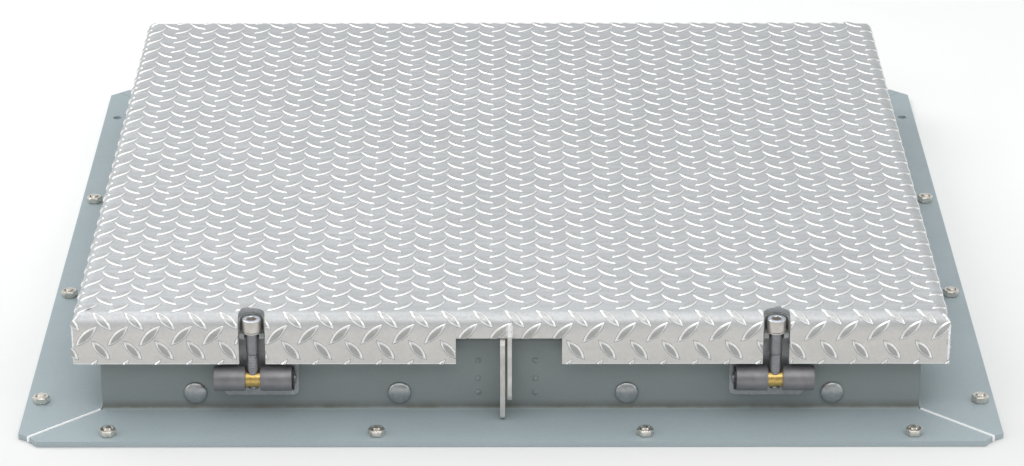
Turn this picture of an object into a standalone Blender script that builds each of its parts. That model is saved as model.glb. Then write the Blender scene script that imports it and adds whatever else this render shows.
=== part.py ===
"""Deck hatch: a flanged coaming frame with a rear-hinged tread-plate lid, two swing-bolt latches,
a padlock hasp and a fold-away stay.

Units are metres, +Z is up, and the front (latch) side faces -Y.
The flange underside lies on Z = 0 and the frame is centred on X = Y = 0.
Every object is one closed body, and pieces that touch in the real hatch are 0.3 mm apart here.
"""

import math

import bmesh
import bpy
from mathutils import Matrix, Vector

MM = 0.001
GAP = 0.3 * MM

# Frame: bent sheet sections with an outward flange, a wall and an inward lip.
SHEET_T = 6.0 * MM
COAMING_HALF_X = 415.0 * MM
COAMING_HALF_Y = 406.5 * MM
FLANGE_HALF_X = 494.0 * MM
FLANGE_HALF_Y = 481.0 * MM
CORNER_CUT_X = 20.0 * MM
CORNER_CUT_Y = 18.0 * MM
MITRE_X = 484.4 * MM
MITRE_Y = 471.6 * MM
MITRE_GAP = 3.0 * MM
REAR_MITRE_GAP = 0.3 * MM
WALL_GAP = 0.15 * MM
COAMING_TOP_Z = 88.0 * MM
LIP_W = 26.0 * MM
FOOT_BEND_R = 3.0 * MM
LIP_BEND_R = 8.0 * MM

# Flange bolts, on a line inside the flange's edge.
HOLE_INSET_X = 14.8 * MM
HOLE_INSET_Y = 16.0 * MM
BOLT_HOLE_R = 4.9 * MM
BOLT_SHANK_R = 4.6 * MM
HEX_CORNER_R = 8.9 * MM
HEX_H = 6.5 * MM
STUD_H = 8.1 * MM
FRONT_BOLT_X = (-0.404, -0.1345, 0.1345, 0.404)
SIDE_BOLT_Y = (-0.391, -0.1315, 0.1285, 0.3885)

# Carriage bolts through the front wall.
CARRIAGE_X = (-0.320, -0.113, 0.1175, 0.326)
CARRIAGE_Z = 24.0 * MM
CARRIAGE_HEAD_R = 11.8 * MM
CARRIAGE_HEAD_H = 4.6 * MM

# Lid: a folded tray, 5 mm thick.
LID_HALF_X = 439.6 * MM
LID_FRONT_Y = -428.5 * MM
LID_REAR_Y = 421.5 * MM
LID_T = 5.0 * MM
LID_TOP_Z = 119.6 * MM
SKIRT_BOTTOM_Z = 66.2 * MM
LID_BEND_R = 13.0 * MM
LID_UNDER_Z = LID_TOP_Z - LID_T
NOTCH_LEFT_X = -55.2 * MM
NOTCH_RIGHT_X = 51.4 * MM
NOTCH_TOP_Z = 94.7 * MM

# Swing-bolt latches.
LATCH_SIDES = (("left", -1, -259.7 * MM), ("right", 1, 266.3 * MM))
LATCH_Y = -422.2 * MM
LATCH_Z = 47.6 * MM
SLOT_R = 13.25 * MM
PIN_R = 8.8 * MM
PIN_END_R = 5.4 * MM
PIN_OUTER = 36.0 * MM
PIN_INNER = 43.4 * MM
BARREL_R = 12.7 * MM
BARREL_BORE_R = 9.0 * MM
BARREL_IN = 7.4 * MM
BARREL_OUT = 39.4 * MM
RING_T = 1.6 * MM
RING_R = 12.0 * MM
RING_BORE_R = 5.7 * MM
SCREW_HEAD_R = 9.5 * MM
SCREW_HEAD_H = 12.7 * MM
SCREW_HEAD_Z = 101.4 * MM
SHANK_R = 6.35 * MM
THREAD_R = 6.05 * MM
THREAD_TOP_Z = 76.0 * MM
SCREW_TIP_Z = 37.2 * MM
WASHER_T = 1.5 * MM
SEAT_TOP_Z = SCREW_HEAD_Z - WASHER_T - 2 * GAP
SEAT_T = 5.4 * MM
POCKET_OUT_R = 16.4 * MM
POCKET_IN_R = 12.6 * MM
SEAT_SLOT_R = 7.1 * MM
SEAT_FRONT_Y = LATCH_Y - 5.0 * MM
BASE_OUTER_X = 31.0 * MM
BASE_INNER_X = 45.0 * MM
BASE_LOW_Z = 22.3 * MM
BASE_TOP_Z = 87.0 * MM
BASE_T = 2.4 * MM

# Padlock hasp.
FRAME_LUG_X = -8.3 * MM
FRAME_LUG_T = 5.0 * MM
FRAME_LUG_FRONT_Y = -435.5 * MM
HASP_TOP_Z = 93.8 * MM
LID_LUG_X = -1.2 * MM
LID_LUG_T = 4.4 * MM
PADLOCK_Y = -427.0 * MM
PADLOCK_Z = 40.0 * MM
PADLOCK_R = 5.5 * MM
RIVET_X = (-33.2 * MM, 25.0 * MM)
RIVET_Z = (60.1 * MM, 39.9 * MM, 24.3 * MM)
RIVET_R = 2.2 * MM

# Seal between the lid and the coaming's lip.
CHANNEL_OUT = 4.0 * MM
CHANNEL_IN = 26.0 * MM
CHANNEL_T = 2.0 * MM
CHANNEL_LOW_Z = 97.0 * MM

# Lid stiffeners.
STIFFENER_X = 190.0 * MM
STIFFENER_T = 6.0 * MM
STIFFENER_HALF_Y = 330.0 * MM
STIFFENER_LOW_Z = 92.0 * MM

# Hinges.
HINGE_X = 255.0 * MM
HINGE_HALF_W = 45.0 * MM
HINGE_MID_HALF = 18.0 * MM
HINGE_Y = 437.8 * MM
HINGE_Z = 75.0 * MM
KNUCKLE_R = 8.0 * MM
HINGE_BORE_R = 4.2 * MM
HINGE_PIN_R = 4.0 * MM

# Stay rod, pivoted under the lid.
STAY_X = 372.0 * MM
STAY_Y = 100.0 * MM
STAY_Z = 102.0 * MM
STAY_LEN = 336.0 * MM
STAY_R = 4.5 * MM
STAY_EYE_R = 8.5 * MM
STAY_PIN_R = 3.0 * MM
CATCH_Y = 259.0 * MM

# Colour, roughness, metallic.
FINISHES = {
    "coated": ((0.30, 0.35, 0.38), 0.45, 0.1),
    "tread": ((0.72, 0.73, 0.74), 0.35, 1.0),
    "grey": ((0.38, 0.39, 0.40), 0.40, 0.8),
    "zinc": ((0.70, 0.55, 0.22), 0.35, 0.9),
    "screw": ((0.48, 0.46, 0.43), 0.35, 1.0),
    "nickel": ((0.62, 0.60, 0.56), 0.30, 1.0),
    "dark": ((0.10, 0.10, 0.10), 0.50, 0.4),
    "rubber": ((0.03, 0.03, 0.03), 0.80, 0.0),
}


def new_object(name, bm, finish, smooth=False):
    """Turns a bmesh into a named object with a material of its own."""
    bmesh.ops.recalc_face_normals(bm, faces=bm.faces)
    mesh = bpy.data.meshes.new(name)
    bm.to_mesh(mesh)
    bm.free()
    obj = bpy.data.objects.new(name, mesh)
    bpy.context.collection.objects.link(obj)
    colour, rough, metallic = FINISHES[finish]
    mat = bpy.data.materials.new(name)
    mat.use_nodes = True
    shader = mat.node_tree.nodes["Principled BSDF"]
    shader.inputs["Base Color"].default_value = (*colour, 1.0)
    shader.inputs["Roughness"].default_value = rough
    shader.inputs["Metallic"].default_value = metallic
    mesh.materials.append(mat)
    for poly in mesh.polygons:
        poly.use_smooth = smooth
    return obj


def combine(target, tool, operation):
    """Applies one exact boolean to target and removes the tool."""
    tool.hide_render = True
    tool.display_type = "WIRE"
    mod = target.modifiers.new("cut", "BOOLEAN")
    mod.operation = operation
    mod.solver = "EXACT"
    mod.object = tool
    bpy.context.view_layer.update()
    graph = bpy.context.evaluated_depsgraph_get()
    mesh = bpy.data.meshes.new_from_object(target.evaluated_get(graph))
    target.modifiers.clear()
    mesh.name = target.name
    target.data = mesh
    kept = target.data.materials[0]
    target.data.materials.clear()
    target.data.materials.append(kept)
    for poly in target.data.polygons:
        poly.material_index = 0
    bpy.data.objects.remove(tool, do_unlink=True)
    return target


def cut(target, *tools):
    for tool in tools:
        combine(target, tool, "DIFFERENCE")
    return target


def join(target, *tools):
    for tool in tools:
        combine(target, tool, "UNION")
    return target


def prism_mesh(outline, axis, low, high):
    """A polygon in the plane across axis, extruded along it from low to high."""
    bm = bmesh.new()
    rings = []
    for level in (low, high):
        ring = []
        for a, b in outline:
            if axis == "X":
                co = (level, a, b)
            elif axis == "Y":
                co = (a, level, b)
            else:
                co = (a, b, level)
            ring.append(bm.verts.new(co))
        rings.append(ring)
    count = len(outline)
    bm.faces.new(rings[0])
    bm.faces.new(list(reversed(rings[1])))
    for i in range(count):
        j = (i + 1) % count
        bm.faces.new((rings[0][i], rings[1][i], rings[1][j], rings[0][j]))
    return bm


def prism(name, outline, axis, low, high, finish, smooth=False):
    return new_object(name, prism_mesh(outline, axis, low, high), finish, smooth)


def circle(a, b, radius, segments, start=0.0):
    step = 2 * math.pi / segments
    return [
        (a + radius * math.cos(start + i * step), b + radius * math.sin(start + i * step))
        for i in range(segments)
    ]


def arc(a, b, radius, begin, end, segments):
    """Points on an arc, angles in degrees, both ends included."""
    points = []
    for i in range(segments + 1):
        angle = math.radians(begin + (end - begin) * i / segments)
        points.append((a + radius * math.cos(angle), b + radius * math.sin(angle)))
    return points


def rod(name, axis, a, b, radius, low, high, finish, segments=24):
    return prism(name, circle(a, b, radius, segments), axis, low, high, finish, True)


def box(name, low, high, finish="dark"):
    outline = [(low[0], low[1]), (high[0], low[1]), (high[0], high[1]), (low[0], high[1])]
    return prism(name, outline, "Z", low[2], high[2], finish)


def rounded_rect(a0, b0, a1, b1, radius, segments=3):
    points = []
    corners = ((a1, b0, 270), (a1, b1, 0), (a0, b1, 90), (a0, b0, 180))
    for a, b, begin in corners:
        ca = a - radius if a == a1 else a + radius
        cb = b - radius if b == b1 else b + radius
        points.extend(arc(ca, cb, radius, begin, begin + 90, segments))
    return points


def lathe(name, axis, centre, profile, segments, finish):
    """A solid of revolution. The profile runs (radius, height) from the axis back to the axis."""
    bm = bmesh.new()
    rings = []
    for radius, height in profile:
        if radius < 1e-9:
            rings.append([bm.verts.new((0, 0, height))])
        else:
            rings.append([bm.verts.new((x, y, height)) for x, y in circle(0, 0, radius, segments)])
    for low, high in zip(rings, rings[1:]):
        for i in range(segments):
            j = (i + 1) % segments
            if len(low) == 1:
                bm.faces.new((low[0], high[i], high[j]))
            elif len(high) == 1:
                bm.faces.new((low[i], low[j], high[0]))
            else:
                bm.faces.new((low[i], low[j], high[j], high[i]))
    turn = Vector((0, 0, 1)).rotation_difference(Vector(axis)).to_matrix().to_4x4()
    bmesh.ops.transform(bm, matrix=Matrix.Translation(centre) @ turn, verts=bm.verts)
    return new_object(name, bm, finish, True)


def section_pairs(flange_w, mitre_w):
    """The bent sheet's outer and inner surface points, from the flange's edge to the lip's."""
    t = SHEET_T
    pairs = [((flange_w, t), (flange_w, 0.0)), ((mitre_w, t), (mitre_w, 0.0))]
    for i in range(5):
        angle = math.radians(270 - 22.5 * i)
        c, s = math.cos(angle), math.sin(angle)
        cz = t + FOOT_BEND_R
        outer = (FOOT_BEND_R + FOOT_BEND_R * c, cz + FOOT_BEND_R * s)
        inner = (FOOT_BEND_R + (FOOT_BEND_R + t) * c, cz + (FOOT_BEND_R + t) * s)
        pairs.append((outer, inner))
    for i in range(4):
        angle = math.radians(30 * i)
        c, s = math.cos(angle), math.sin(angle)
        cz = COAMING_TOP_Z - LIP_BEND_R
        outer = (-LIP_BEND_R + LIP_BEND_R * c, cz + LIP_BEND_R * s)
        inner = (-LIP_BEND_R + (LIP_BEND_R - t) * c, cz + (LIP_BEND_R - t) * s)
        pairs.append((outer, inner))
    pairs.append(((-LIP_W, COAMING_TOP_Z), (-LIP_W, COAMING_TOP_Z - t)))
    return pairs


def coaming_side(name, turns):
    """One mitred side of the frame. turns counts quarter turns from the front."""
    along_x = turns % 2 == 0
    half_len = COAMING_HALF_X if along_x else COAMING_HALF_Y
    half_off = COAMING_HALF_Y if along_x else COAMING_HALF_X
    flange_w = (FLANGE_HALF_Y if along_x else FLANGE_HALF_X) - half_off
    mitre_w = (MITRE_Y if along_x else MITRE_X) - half_off
    mitre_len = MITRE_X if along_x else MITRE_Y
    edge_len = FLANGE_HALF_X - CORNER_CUT_X if along_x else FLANGE_HALF_Y - CORNER_CUT_Y
    slope = (mitre_len - half_len) / mitre_w
    front_ends = {0: (-1, 1), 1: (-1,), 2: (), 3: (1,)}[turns]

    def end_length(o, side):
        if o >= flange_w - 1e-9:
            return edge_len
        if o <= 0:
            return half_len + o - WALL_GAP
        wide = MITRE_GAP if side in front_ends else REAR_MITRE_GAP
        return half_len + slope * o - WALL_GAP - (wide - WALL_GAP) * min(1.0, o / FOOT_BEND_R)

    bm = bmesh.new()
    rows = []
    for outer, inner in section_pairs(flange_w, mitre_w):
        row = []
        for side in (-1, 1):
            for o, z in (outer, inner):
                row.append(bm.verts.new((side * end_length(o, side), -(half_off + o), z)))
        rows.append(row)
    for a, b in zip(rows, rows[1:]):
        bm.faces.new((a[0], a[2], b[2], b[0]))
        bm.faces.new((a[1], b[1], b[3], a[3]))
        bm.faces.new((a[0], b[0], b[1], a[1]))
        bm.faces.new((a[2], a[3], b[3], b[2]))
    for row in (rows[0], rows[-1]):
        bm.faces.new((row[0], row[1], row[3], row[2]))
    bmesh.ops.rotate(
        bm, cent=(0, 0, 0), matrix=Matrix.Rotation(turns * math.pi / 2, 3, "Z"), verts=bm.verts
    )
    return new_object(name, bm, "coated")


def hole(axis, a, b, radius, low, high, segments=16):
    return rod("hole", axis, a, b, radius, low, high, "dark", segments)


def build_frame():
    front = coaming_side("coaming_front", 0)
    right = coaming_side("coaming_right", 1)
    rear = coaming_side("coaming_rear", 2)
    left = coaming_side("coaming_left", 3)
    flange_y = FLANGE_HALF_Y - HOLE_INSET_Y
    flange_x = FLANGE_HALF_X - HOLE_INSET_X
    for x in FRONT_BOLT_X:
        cut(front, hole("Z", x, -flange_y, BOLT_HOLE_R, -0.01, 0.02))
        cut(rear, hole("Z", x, flange_y, BOLT_HOLE_R, -0.01, 0.02))
    for y in SIDE_BOLT_Y:
        cut(left, hole("Z", -flange_x, y, BOLT_HOLE_R, -0.01, 0.02))
        cut(right, hole("Z", flange_x, y, BOLT_HOLE_R, -0.01, 0.02))
    wall_low = -COAMING_HALF_Y - 0.01
    wall_high = -COAMING_HALF_Y + 0.01
    for x in CARRIAGE_X:
        cut(front, hole("Y", x, CARRIAGE_Z, BOLT_HOLE_R, wall_low, wall_high))
    for x in RIVET_X:
        for z in RIVET_Z:
            cut(front, hole("Y", x, z, RIVET_R + 0.3 * MM, wall_low, wall_high, 12))


def hex_bolt(name, x, y):
    """A hex nut on the flange with its stud's end above it, and the shank inside the flange."""
    base = SHEET_T + GAP
    head = prism(name, circle(x, y, HEX_CORNER_R, 6), "Z", base, base + HEX_H, "nickel")
    shank = rod("shank", "Z", x, y, BOLT_SHANK_R, 0.2 * MM, base + STUD_H, "nickel", 16)
    return join(head, shank)


def build_flange_bolts():
    flange_y = FLANGE_HALF_Y - HOLE_INSET_Y
    flange_x = FLANGE_HALF_X - HOLE_INSET_X
    for i, x in enumerate(FRONT_BOLT_X):
        hex_bolt(f"flange_bolt_front_{i + 1}", x, -flange_y)
    for i, y in enumerate(SIDE_BOLT_Y[:3]):
        hex_bolt(f"flange_bolt_left_{i + 1}", -flange_x, y)
        hex_bolt(f"flange_bolt_right_{i + 1}", flange_x, y)


def build_carriage_bolts():
    """Domed heads on the front wall. The height axis of each profile points outward."""
    r = CARRIAGE_HEAD_R
    h = CARRIAGE_HEAD_H
    for i, x in enumerate(CARRIAGE_X):
        face = GAP
        profile = [(0, -0.016), (BOLT_SHANK_R, -0.016), (BOLT_SHANK_R, face), (r, face)]
        profile.append((r, face + 0.8 * MM))
        for angle in (25, 45, 65):
            a = math.radians(angle)
            profile.append((r * math.cos(a), face + 0.8 * MM + (h - 0.8 * MM) * math.sin(a)))
        profile.append((0, face + h))
        centre = (x, -COAMING_HALF_Y, CARRIAGE_Z)
        lathe(f"carriage_bolt_{i + 1}", (0, -1, 0), centre, profile, 20, "grey")


def build_latch(side, sign, x):
    left, right = sorted((x + sign * BASE_OUTER_X, x - sign * BASE_INNER_X))
    plate = rounded_rect(left, BASE_LOW_Z, right, BASE_TOP_Z, 6 * MM)
    back = -COAMING_HALF_Y - GAP
    prism(f"latch_base_{side}", plate, "Y", back - BASE_T, back, "grey")
    for end, s in (("outer", sign), ("inner", -sign)):
        near, far = sorted((x + s * BARREL_IN, x + s * BARREL_OUT))
        barrel = rod(f"latch_barrel_{side}_{end}", "X", LATCH_Y, LATCH_Z, BARREL_R, near, far, "grey", 32)
        cut(barrel, hole("X", LATCH_Y, LATCH_Z, BARREL_BORE_R, near - 0.01, far + 0.01, 32))
    near, far = sorted((x - sign * (BARREL_OUT + GAP), x - sign * (BARREL_OUT + GAP + RING_T)))
    ring = rod(f"latch_ring_{side}", "X", LATCH_Y, LATCH_Z, RING_R, near, far, "dark", 32)
    cut(ring, hole("X", LATCH_Y, LATCH_Z, RING_BORE_R, near - 0.01, far + 0.01, 32))
    near, far = sorted((x + sign * PIN_OUTER, x - sign * BARREL_OUT))
    pin = rod(f"latch_pin_{side}", "X", LATCH_Y, LATCH_Z, PIN_R, near, far, "zinc", 32)
    near, far = sorted((x, x - sign * PIN_INNER))
    join(pin, rod("end", "X", LATCH_Y, LATCH_Z, PIN_END_R, near, far, "zinc", 32))
    cut(pin, hole("Z", x, LATCH_Y, THREAD_R + 0.25 * MM, LATCH_Z - 0.02, LATCH_Z + 0.02, 24))
    build_screw(side, x)
    build_pocket(side, x)


def build_screw(side, x):
    """Socket-head cap screw and the washer under its head."""
    r = SCREW_HEAD_R
    head_top = SCREW_HEAD_Z + SCREW_HEAD_H
    profile = [
        (0, SCREW_TIP_Z),
        (THREAD_R - 1 * MM, SCREW_TIP_Z),
        (THREAD_R, SCREW_TIP_Z + 1 * MM),
        (THREAD_R, THREAD_TOP_Z - 0.6 * MM),
        (SHANK_R, THREAD_TOP_Z),
        (SHANK_R, SCREW_HEAD_Z),
        (r, SCREW_HEAD_Z),
        (r, head_top - 0.9 * MM),
        (r - 0.9 * MM, head_top),
        (0, head_top),
    ]
    screw = lathe(f"latch_screw_{side}", (0, 0, 1), (x, LATCH_Y, 0), profile, 24, "screw")
    cut(screw, hole("Z", x, LATCH_Y, 5.5 * MM, head_top - 7 * MM, head_top + 0.01, 6))
    low = SCREW_HEAD_Z - GAP - WASHER_T
    washer = rod(f"latch_washer_{side}", "Z", x, LATCH_Y, r, low, low + WASHER_T, "screw", 24)
    cut(washer, hole("Z", x, LATCH_Y, SHANK_R + 0.2 * MM, low - 0.01, low + 0.01, 24))


def build_pocket(side, x):
    """Liner of the lid's slot, with the seat that the screw head bears on."""
    low = SEAT_TOP_Z - SEAT_T
    high = LID_UNDER_Z - GAP
    back_y = LID_FRONT_Y + LID_T + GAP
    outline = arc(x, LATCH_Y, POCKET_OUT_R, 0, 180, 12)
    outline += [(x - POCKET_OUT_R, back_y), (x - POCKET_IN_R, back_y), (x - POCKET_IN_R, SEAT_FRONT_Y)]
    outline += [(x + POCKET_IN_R, SEAT_FRONT_Y), (x + POCKET_IN_R, back_y), (x + POCKET_OUT_R, back_y)]
    pocket = prism(f"latch_pocket_{side}", outline, "Z", low, high, "dark")
    # The hollow is a little narrower than the block ahead of the skirt, so those tabs are trimmed too.
    hollow = arc(x, LATCH_Y, POCKET_IN_R - 0.6 * MM, 0, 180, 12)
    hollow += [(x - POCKET_IN_R + 0.6 * MM, -0.45), (x + POCKET_IN_R - 0.6 * MM, -0.45)]
    cut(pocket, prism("hollow", hollow, "Z", SEAT_TOP_Z, 0.13, "dark"))
    cut(pocket, box("ahead", (x - 0.02, -0.45, SEAT_TOP_Z), (x + 0.02, back_y, 0.13)))
    # The liner's top edge follows the inside of the lid's front bend.
    bend_y = LID_FRONT_Y + LID_BEND_R
    bend_z = LID_TOP_Z - LID_BEND_R
    bend = arc(bend_y, bend_z, LID_BEND_R - LID_T - GAP, 90, 180, 6)
    bend += [(back_y - 1 * MM, bend_z), (back_y - 1 * MM, 0.13), (bend_y, 0.13)]
    cut(pocket, prism("bend", bend, "X", x - 0.02, x + 0.02, "dark"))
    shank = arc(x, LATCH_Y, SEAT_SLOT_R, 0, 180, 10)
    shank += [(x - SEAT_SLOT_R - 2 * MM, -0.45), (x + SEAT_SLOT_R + 2 * MM, -0.45)]
    cut(pocket, prism("slot", shank, "Z", 0.08, 0.13, "dark"))


def build_hasp():
    """Two lugs side by side, drilled in line for a padlock's shackle."""
    back = -COAMING_HALF_Y - GAP
    front = FRAME_LUG_FRONT_Y
    outline = [(back, 16 * MM), (back, HASP_TOP_Z), (front + 4 * MM, HASP_TOP_Z), (front, HASP_TOP_Z - 4 * MM)]
    outline += arc(front + 5 * MM, 12 * MM, 5 * MM, 180, 270, 5)
    outline.append((back - 8 * MM, 7 * MM))
    x0 = FRAME_LUG_X - FRAME_LUG_T / 2
    lug = prism("hasp_frame_lug", outline, "X", x0, x0 + FRAME_LUG_T, "grey")
    cut(lug, hole("X", PADLOCK_Y, PADLOCK_Z, PADLOCK_R, -0.02, 0.02, 24))
    skirt = LID_FRONT_Y - GAP
    outline = [
        (skirt, 112 * MM),
        (skirt, NOTCH_TOP_Z - 1.5 * MM),
        (-416 * MM, 82 * MM),
        (-416 * MM, 32 * MM),
        (-421 * MM, 27 * MM),
    ]
    outline += arc(-428.5 * MM, 36 * MM, 9 * MM, 270, 180, 5)
    outline += [(-437.5 * MM, 84 * MM), (-433.2 * MM, 98 * MM), (-432.2 * MM, 112 * MM)]
    x0 = LID_LUG_X - LID_LUG_T / 2
    lug = prism("hasp_lid_lug", outline, "X", x0, x0 + LID_LUG_T, "grey")
    cut(lug, hole("X", PADLOCK_Y, PADLOCK_Z, PADLOCK_R, -0.02, 0.02, 24))
    inner = -COAMING_HALF_Y + SHEET_T + GAP
    sheet = rounded_rect(-44 * MM, 16 * MM, 36 * MM, 72 * MM, 5 * MM)
    plate = prism("hasp_backing_plate", sheet, "Y", inner, inner + 3 * MM, "grey")
    for x in RIVET_X:
        for z in RIVET_Z:
            cut(plate, hole("Y", x, z, RIVET_R + 0.3 * MM, inner - 0.01, inner + 0.01, 12))
    reach = SHEET_T + 3 * MM + 2 * GAP
    index = 0
    for x in RIVET_X:
        for z in RIVET_Z:
            index += 1
            profile = [(0, -reach), (RIVET_R, -reach), (RIVET_R, GAP), (2.7 * MM, GAP)]
            profile += [(2.4 * MM, 1.1 * MM), (1.3 * MM, 1.6 * MM), (0, 1.7 * MM)]
            centre = (x, -COAMING_HALF_Y, z)
            lathe(f"hasp_rivet_{index}", (0, -1, 0), centre, profile, 12, "grey")


def rect_loft(name, profile, half_x, front_y, rear_y, closed, finish):
    """Rectangles of the profile's (inset, z) points, joined in order. closed makes a ring."""
    bm = bmesh.new()
    rings = []
    for d, z in profile:
        x = half_x - d
        corners = ((-x, front_y + d), (x, front_y + d), (x, rear_y - d), (-x, rear_y - d))
        rings.append([bm.verts.new((a, b, z)) for a, b in corners])
    steps = list(zip(rings, rings[1:]))
    if closed:
        steps.append((rings[-1], rings[0]))
    for low, high in steps:
        for i in range(4):
            j = (i + 1) % 4
            bm.faces.new((low[i], low[j], high[j], high[i]))
    if not closed:
        bm.faces.new(rings[0])
        bm.faces.new(list(reversed(rings[-1])))
    return new_object(name, bm, finish)


def build_lid():
    bend = []
    for i in range(7):
        a = math.radians(15 * i)
        bend.append((1 - math.cos(a), math.sin(a)))
    r = LID_BEND_R
    z0 = LID_TOP_Z - r
    outer = [(r * c, z0 + r * s) for c, s in bend]
    r -= LID_T
    inner = [(LID_T + r * c, z0 + r * s) for c, s in bend]
    profile = list(reversed(outer)) + [(0, SKIRT_BOTTOM_Z), (LID_T, SKIRT_BOTTOM_Z)] + inner
    lid = rect_loft("lid_plate", profile, LID_HALF_X, LID_FRONT_Y, LID_REAR_Y, False, "tread")
    for _, _, x in LATCH_SIDES:
        slot = arc(x, LATCH_Y, SLOT_R, 0, 180, 16)
        slot += [(x - SLOT_R, -0.45), (x + SLOT_R, -0.45)]
        cut(lid, prism("slot", slot, "Z", 0.05, 0.13, "dark"))
    cut(lid, box("notch", (NOTCH_LEFT_X, -0.45, 0.05), (NOTCH_RIGHT_X, -0.415, NOTCH_TOP_Z)))
    top = LID_UNDER_Z - GAP
    for side, sign in (("left", -1), ("right", 1)):
        x = sign * STIFFENER_X
        low = (x - STIFFENER_T / 2, -STIFFENER_HALF_Y, STIFFENER_LOW_Z)
        high = (x + STIFFENER_T / 2, STIFFENER_HALF_Y, top)
        box(f"lid_stiffener_{side}", low, high, "tread")
    a, b, t = CHANNEL_OUT, CHANNEL_IN, CHANNEL_T
    low = CHANNEL_LOW_Z
    profile = [(a, low), (a + t, low), (a + t, top - t), (b - t, top - t), (b - t, low), (b, low)]
    profile += [(b, top), (a, top)]
    half_y = COAMING_HALF_Y
    rect_loft("gasket_channel", profile, COAMING_HALF_X, -half_y, half_y, True, "tread")
    a += t + GAP
    b -= t + GAP
    low = COAMING_TOP_Z + GAP
    high = top - t - GAP
    profile = [(a + 3 * MM, low), (b - 3 * MM, low), (b, low + 4 * MM), (b, high), (a, high)]
    profile.append((a, low + 4 * MM))
    rect_loft("gasket", profile, COAMING_HALF_X, -half_y, half_y, True, "rubber")


def build_hinge(side, sign):
    x = sign * HINGE_X
    w = HINGE_HALF_W
    foot = SHEET_T + GAP
    near = HINGE_Y - 3 * MM
    far = HINGE_Y + 3 * MM
    knuckle = arc(HINGE_Y, HINGE_Z, KNUCKLE_R, -67.5, 247.5, 14)
    outline = [(near, foot + 5 * MM), (near - 8 * MM, foot + 5 * MM), (near - 8 * MM, foot)]
    outline += [(far + 28 * MM, foot), (far + 28 * MM, foot + 5 * MM), (far, foot + 5 * MM)]
    leaf = prism(f"hinge_frame_leaf_{side}", outline + knuckle, "X", x - w, x + w, "grey")
    m = HINGE_MID_HALF + GAP
    room = box("room", (x - m, 0.40, HINGE_Z - KNUCKLE_R - 2 * MM), (x + m, 0.46, 0.10))
    cut(leaf, room, hole("X", HINGE_Y, HINGE_Z, HINGE_BORE_R, x - 0.06, x + 0.06, 20))
    skirt = LID_REAR_Y + GAP
    outline = [(skirt, 70 * MM), (skirt + 4 * MM, 70 * MM)]
    outline += arc(HINGE_Y, HINGE_Z, KNUCKLE_R, -142, 142, 14)
    outline += [(skirt + 4 * MM, 80 * MM), (skirt + 4 * MM, 104 * MM), (skirt, 104 * MM)]
    leaf = prism(f"hinge_lid_leaf_{side}", outline, "X", x - w, x + w, "grey")
    m = HINGE_MID_HALF
    for a, b in ((x - 0.06, x - m), (x + m, x + 0.06)):
        cut(leaf, box("room", (a, skirt + 4 * MM, 0.06), (b, 0.46, 0.09)))
    cut(leaf, hole("X", HINGE_Y, HINGE_Z, HINGE_BORE_R, x - 0.06, x + 0.06, 20))
    span = w + 2 * MM
    rod(f"hinge_pin_{side}", "X", HINGE_Y, HINGE_Z, HINGE_PIN_R, x - span, x + span, "nickel", 20)


def build_stay():
    """A prop rod folded under the lid, its bracket, and the catch that takes its foot."""
    tip = STAY_Y - STAY_LEN
    stay = rod("stay_rod", "Y", STAY_X, STAY_Z, STAY_R, tip, STAY_Y - 4 * MM, "nickel", 16)
    eye = rod("eye", "X", STAY_Y, STAY_Z, STAY_EYE_R, STAY_X - 4 * MM, STAY_X + 4 * MM, "nickel", 20)
    join(stay, eye)
    cut(stay, hole("X", STAY_Y, STAY_Z, STAY_PIN_R + 0.3 * MM, STAY_X - 0.01, STAY_X + 0.01, 16))
    top = LID_UNDER_Z - GAP
    x0 = STAY_X + 5 * MM
    x1 = x0 + 4 * MM
    bracket = box("stay_bracket", (x0 - 26 * MM, STAY_Y - 14 * MM, top - 3 * MM), (x1, STAY_Y + 14 * MM, top))
    cheek = box("cheek", (x0, STAY_Y - 10 * MM, STAY_Z - 8 * MM), (x1, STAY_Y + 10 * MM, top - 1 * MM))
    pin = rod("pin", "X", STAY_Y, STAY_Z, STAY_PIN_R, x0 - 14 * MM, x0 + 2 * MM, "grey", 16)
    join(bracket, cheek, pin)
    wall = COAMING_HALF_X - SHEET_T - GAP
    under = COAMING_TOP_Z - SHEET_T - 2.5 * MM
    x2 = STAY_X - 9 * MM
    outline = [(wall, under - 30 * MM), (wall, under), (x2, under), (x2, under - 8 * MM)]
    catch = prism("stay_catch", outline, "Y", CATCH_Y - 12 * MM, CATCH_Y + 12 * MM, "grey")
    cut(catch, hole("Z", STAY_X, CATCH_Y, STAY_R + 0.8 * MM, under - 5 * MM, under + 0.01, 16))


def hang_on(name, place, prefixes):
    """Parents every piece whose name starts with a prefix to an empty on its joint's axis."""
    axis = bpy.data.objects.new(name, None)
    axis.location = place
    axis.empty_display_size = 0.03
    bpy.context.collection.objects.link(axis)
    for obj in bpy.data.objects:
        if obj.type == "MESH" and obj.name.startswith(prefixes):
            obj.parent = axis
            obj.matrix_parent_inverse = Matrix.Translation(place).inverted()


def build_joint_axes():
    lid = ("lid_", "gasket", "latch_pocket", "hasp_lid", "hinge_lid", "stay_bracket")
    hang_on("axis_lid", (0, HINGE_Y, HINGE_Z), lid)
    for side, _, x in LATCH_SIDES:
        moving = tuple(f"latch_{piece}_{side}" for piece in ("pin", "washer", "screw"))
        hang_on(f"axis_latch_{side}", (x, LATCH_Y, LATCH_Z), moving)
    hang_on("axis_stay", (STAY_X, STAY_Y, STAY_Z), ("stay_rod",))


for old in list(bpy.data.objects):
    bpy.data.objects.remove(old, do_unlink=True)

build_frame()
build_flange_bolts()
build_carriage_bolts()
for side, sign, x in LATCH_SIDES:
    build_latch(side, sign, x)
build_hasp()
build_lid()
build_hinge("left", -1)
build_hinge("right", 1)
build_stay()
build_joint_axes()
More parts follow.
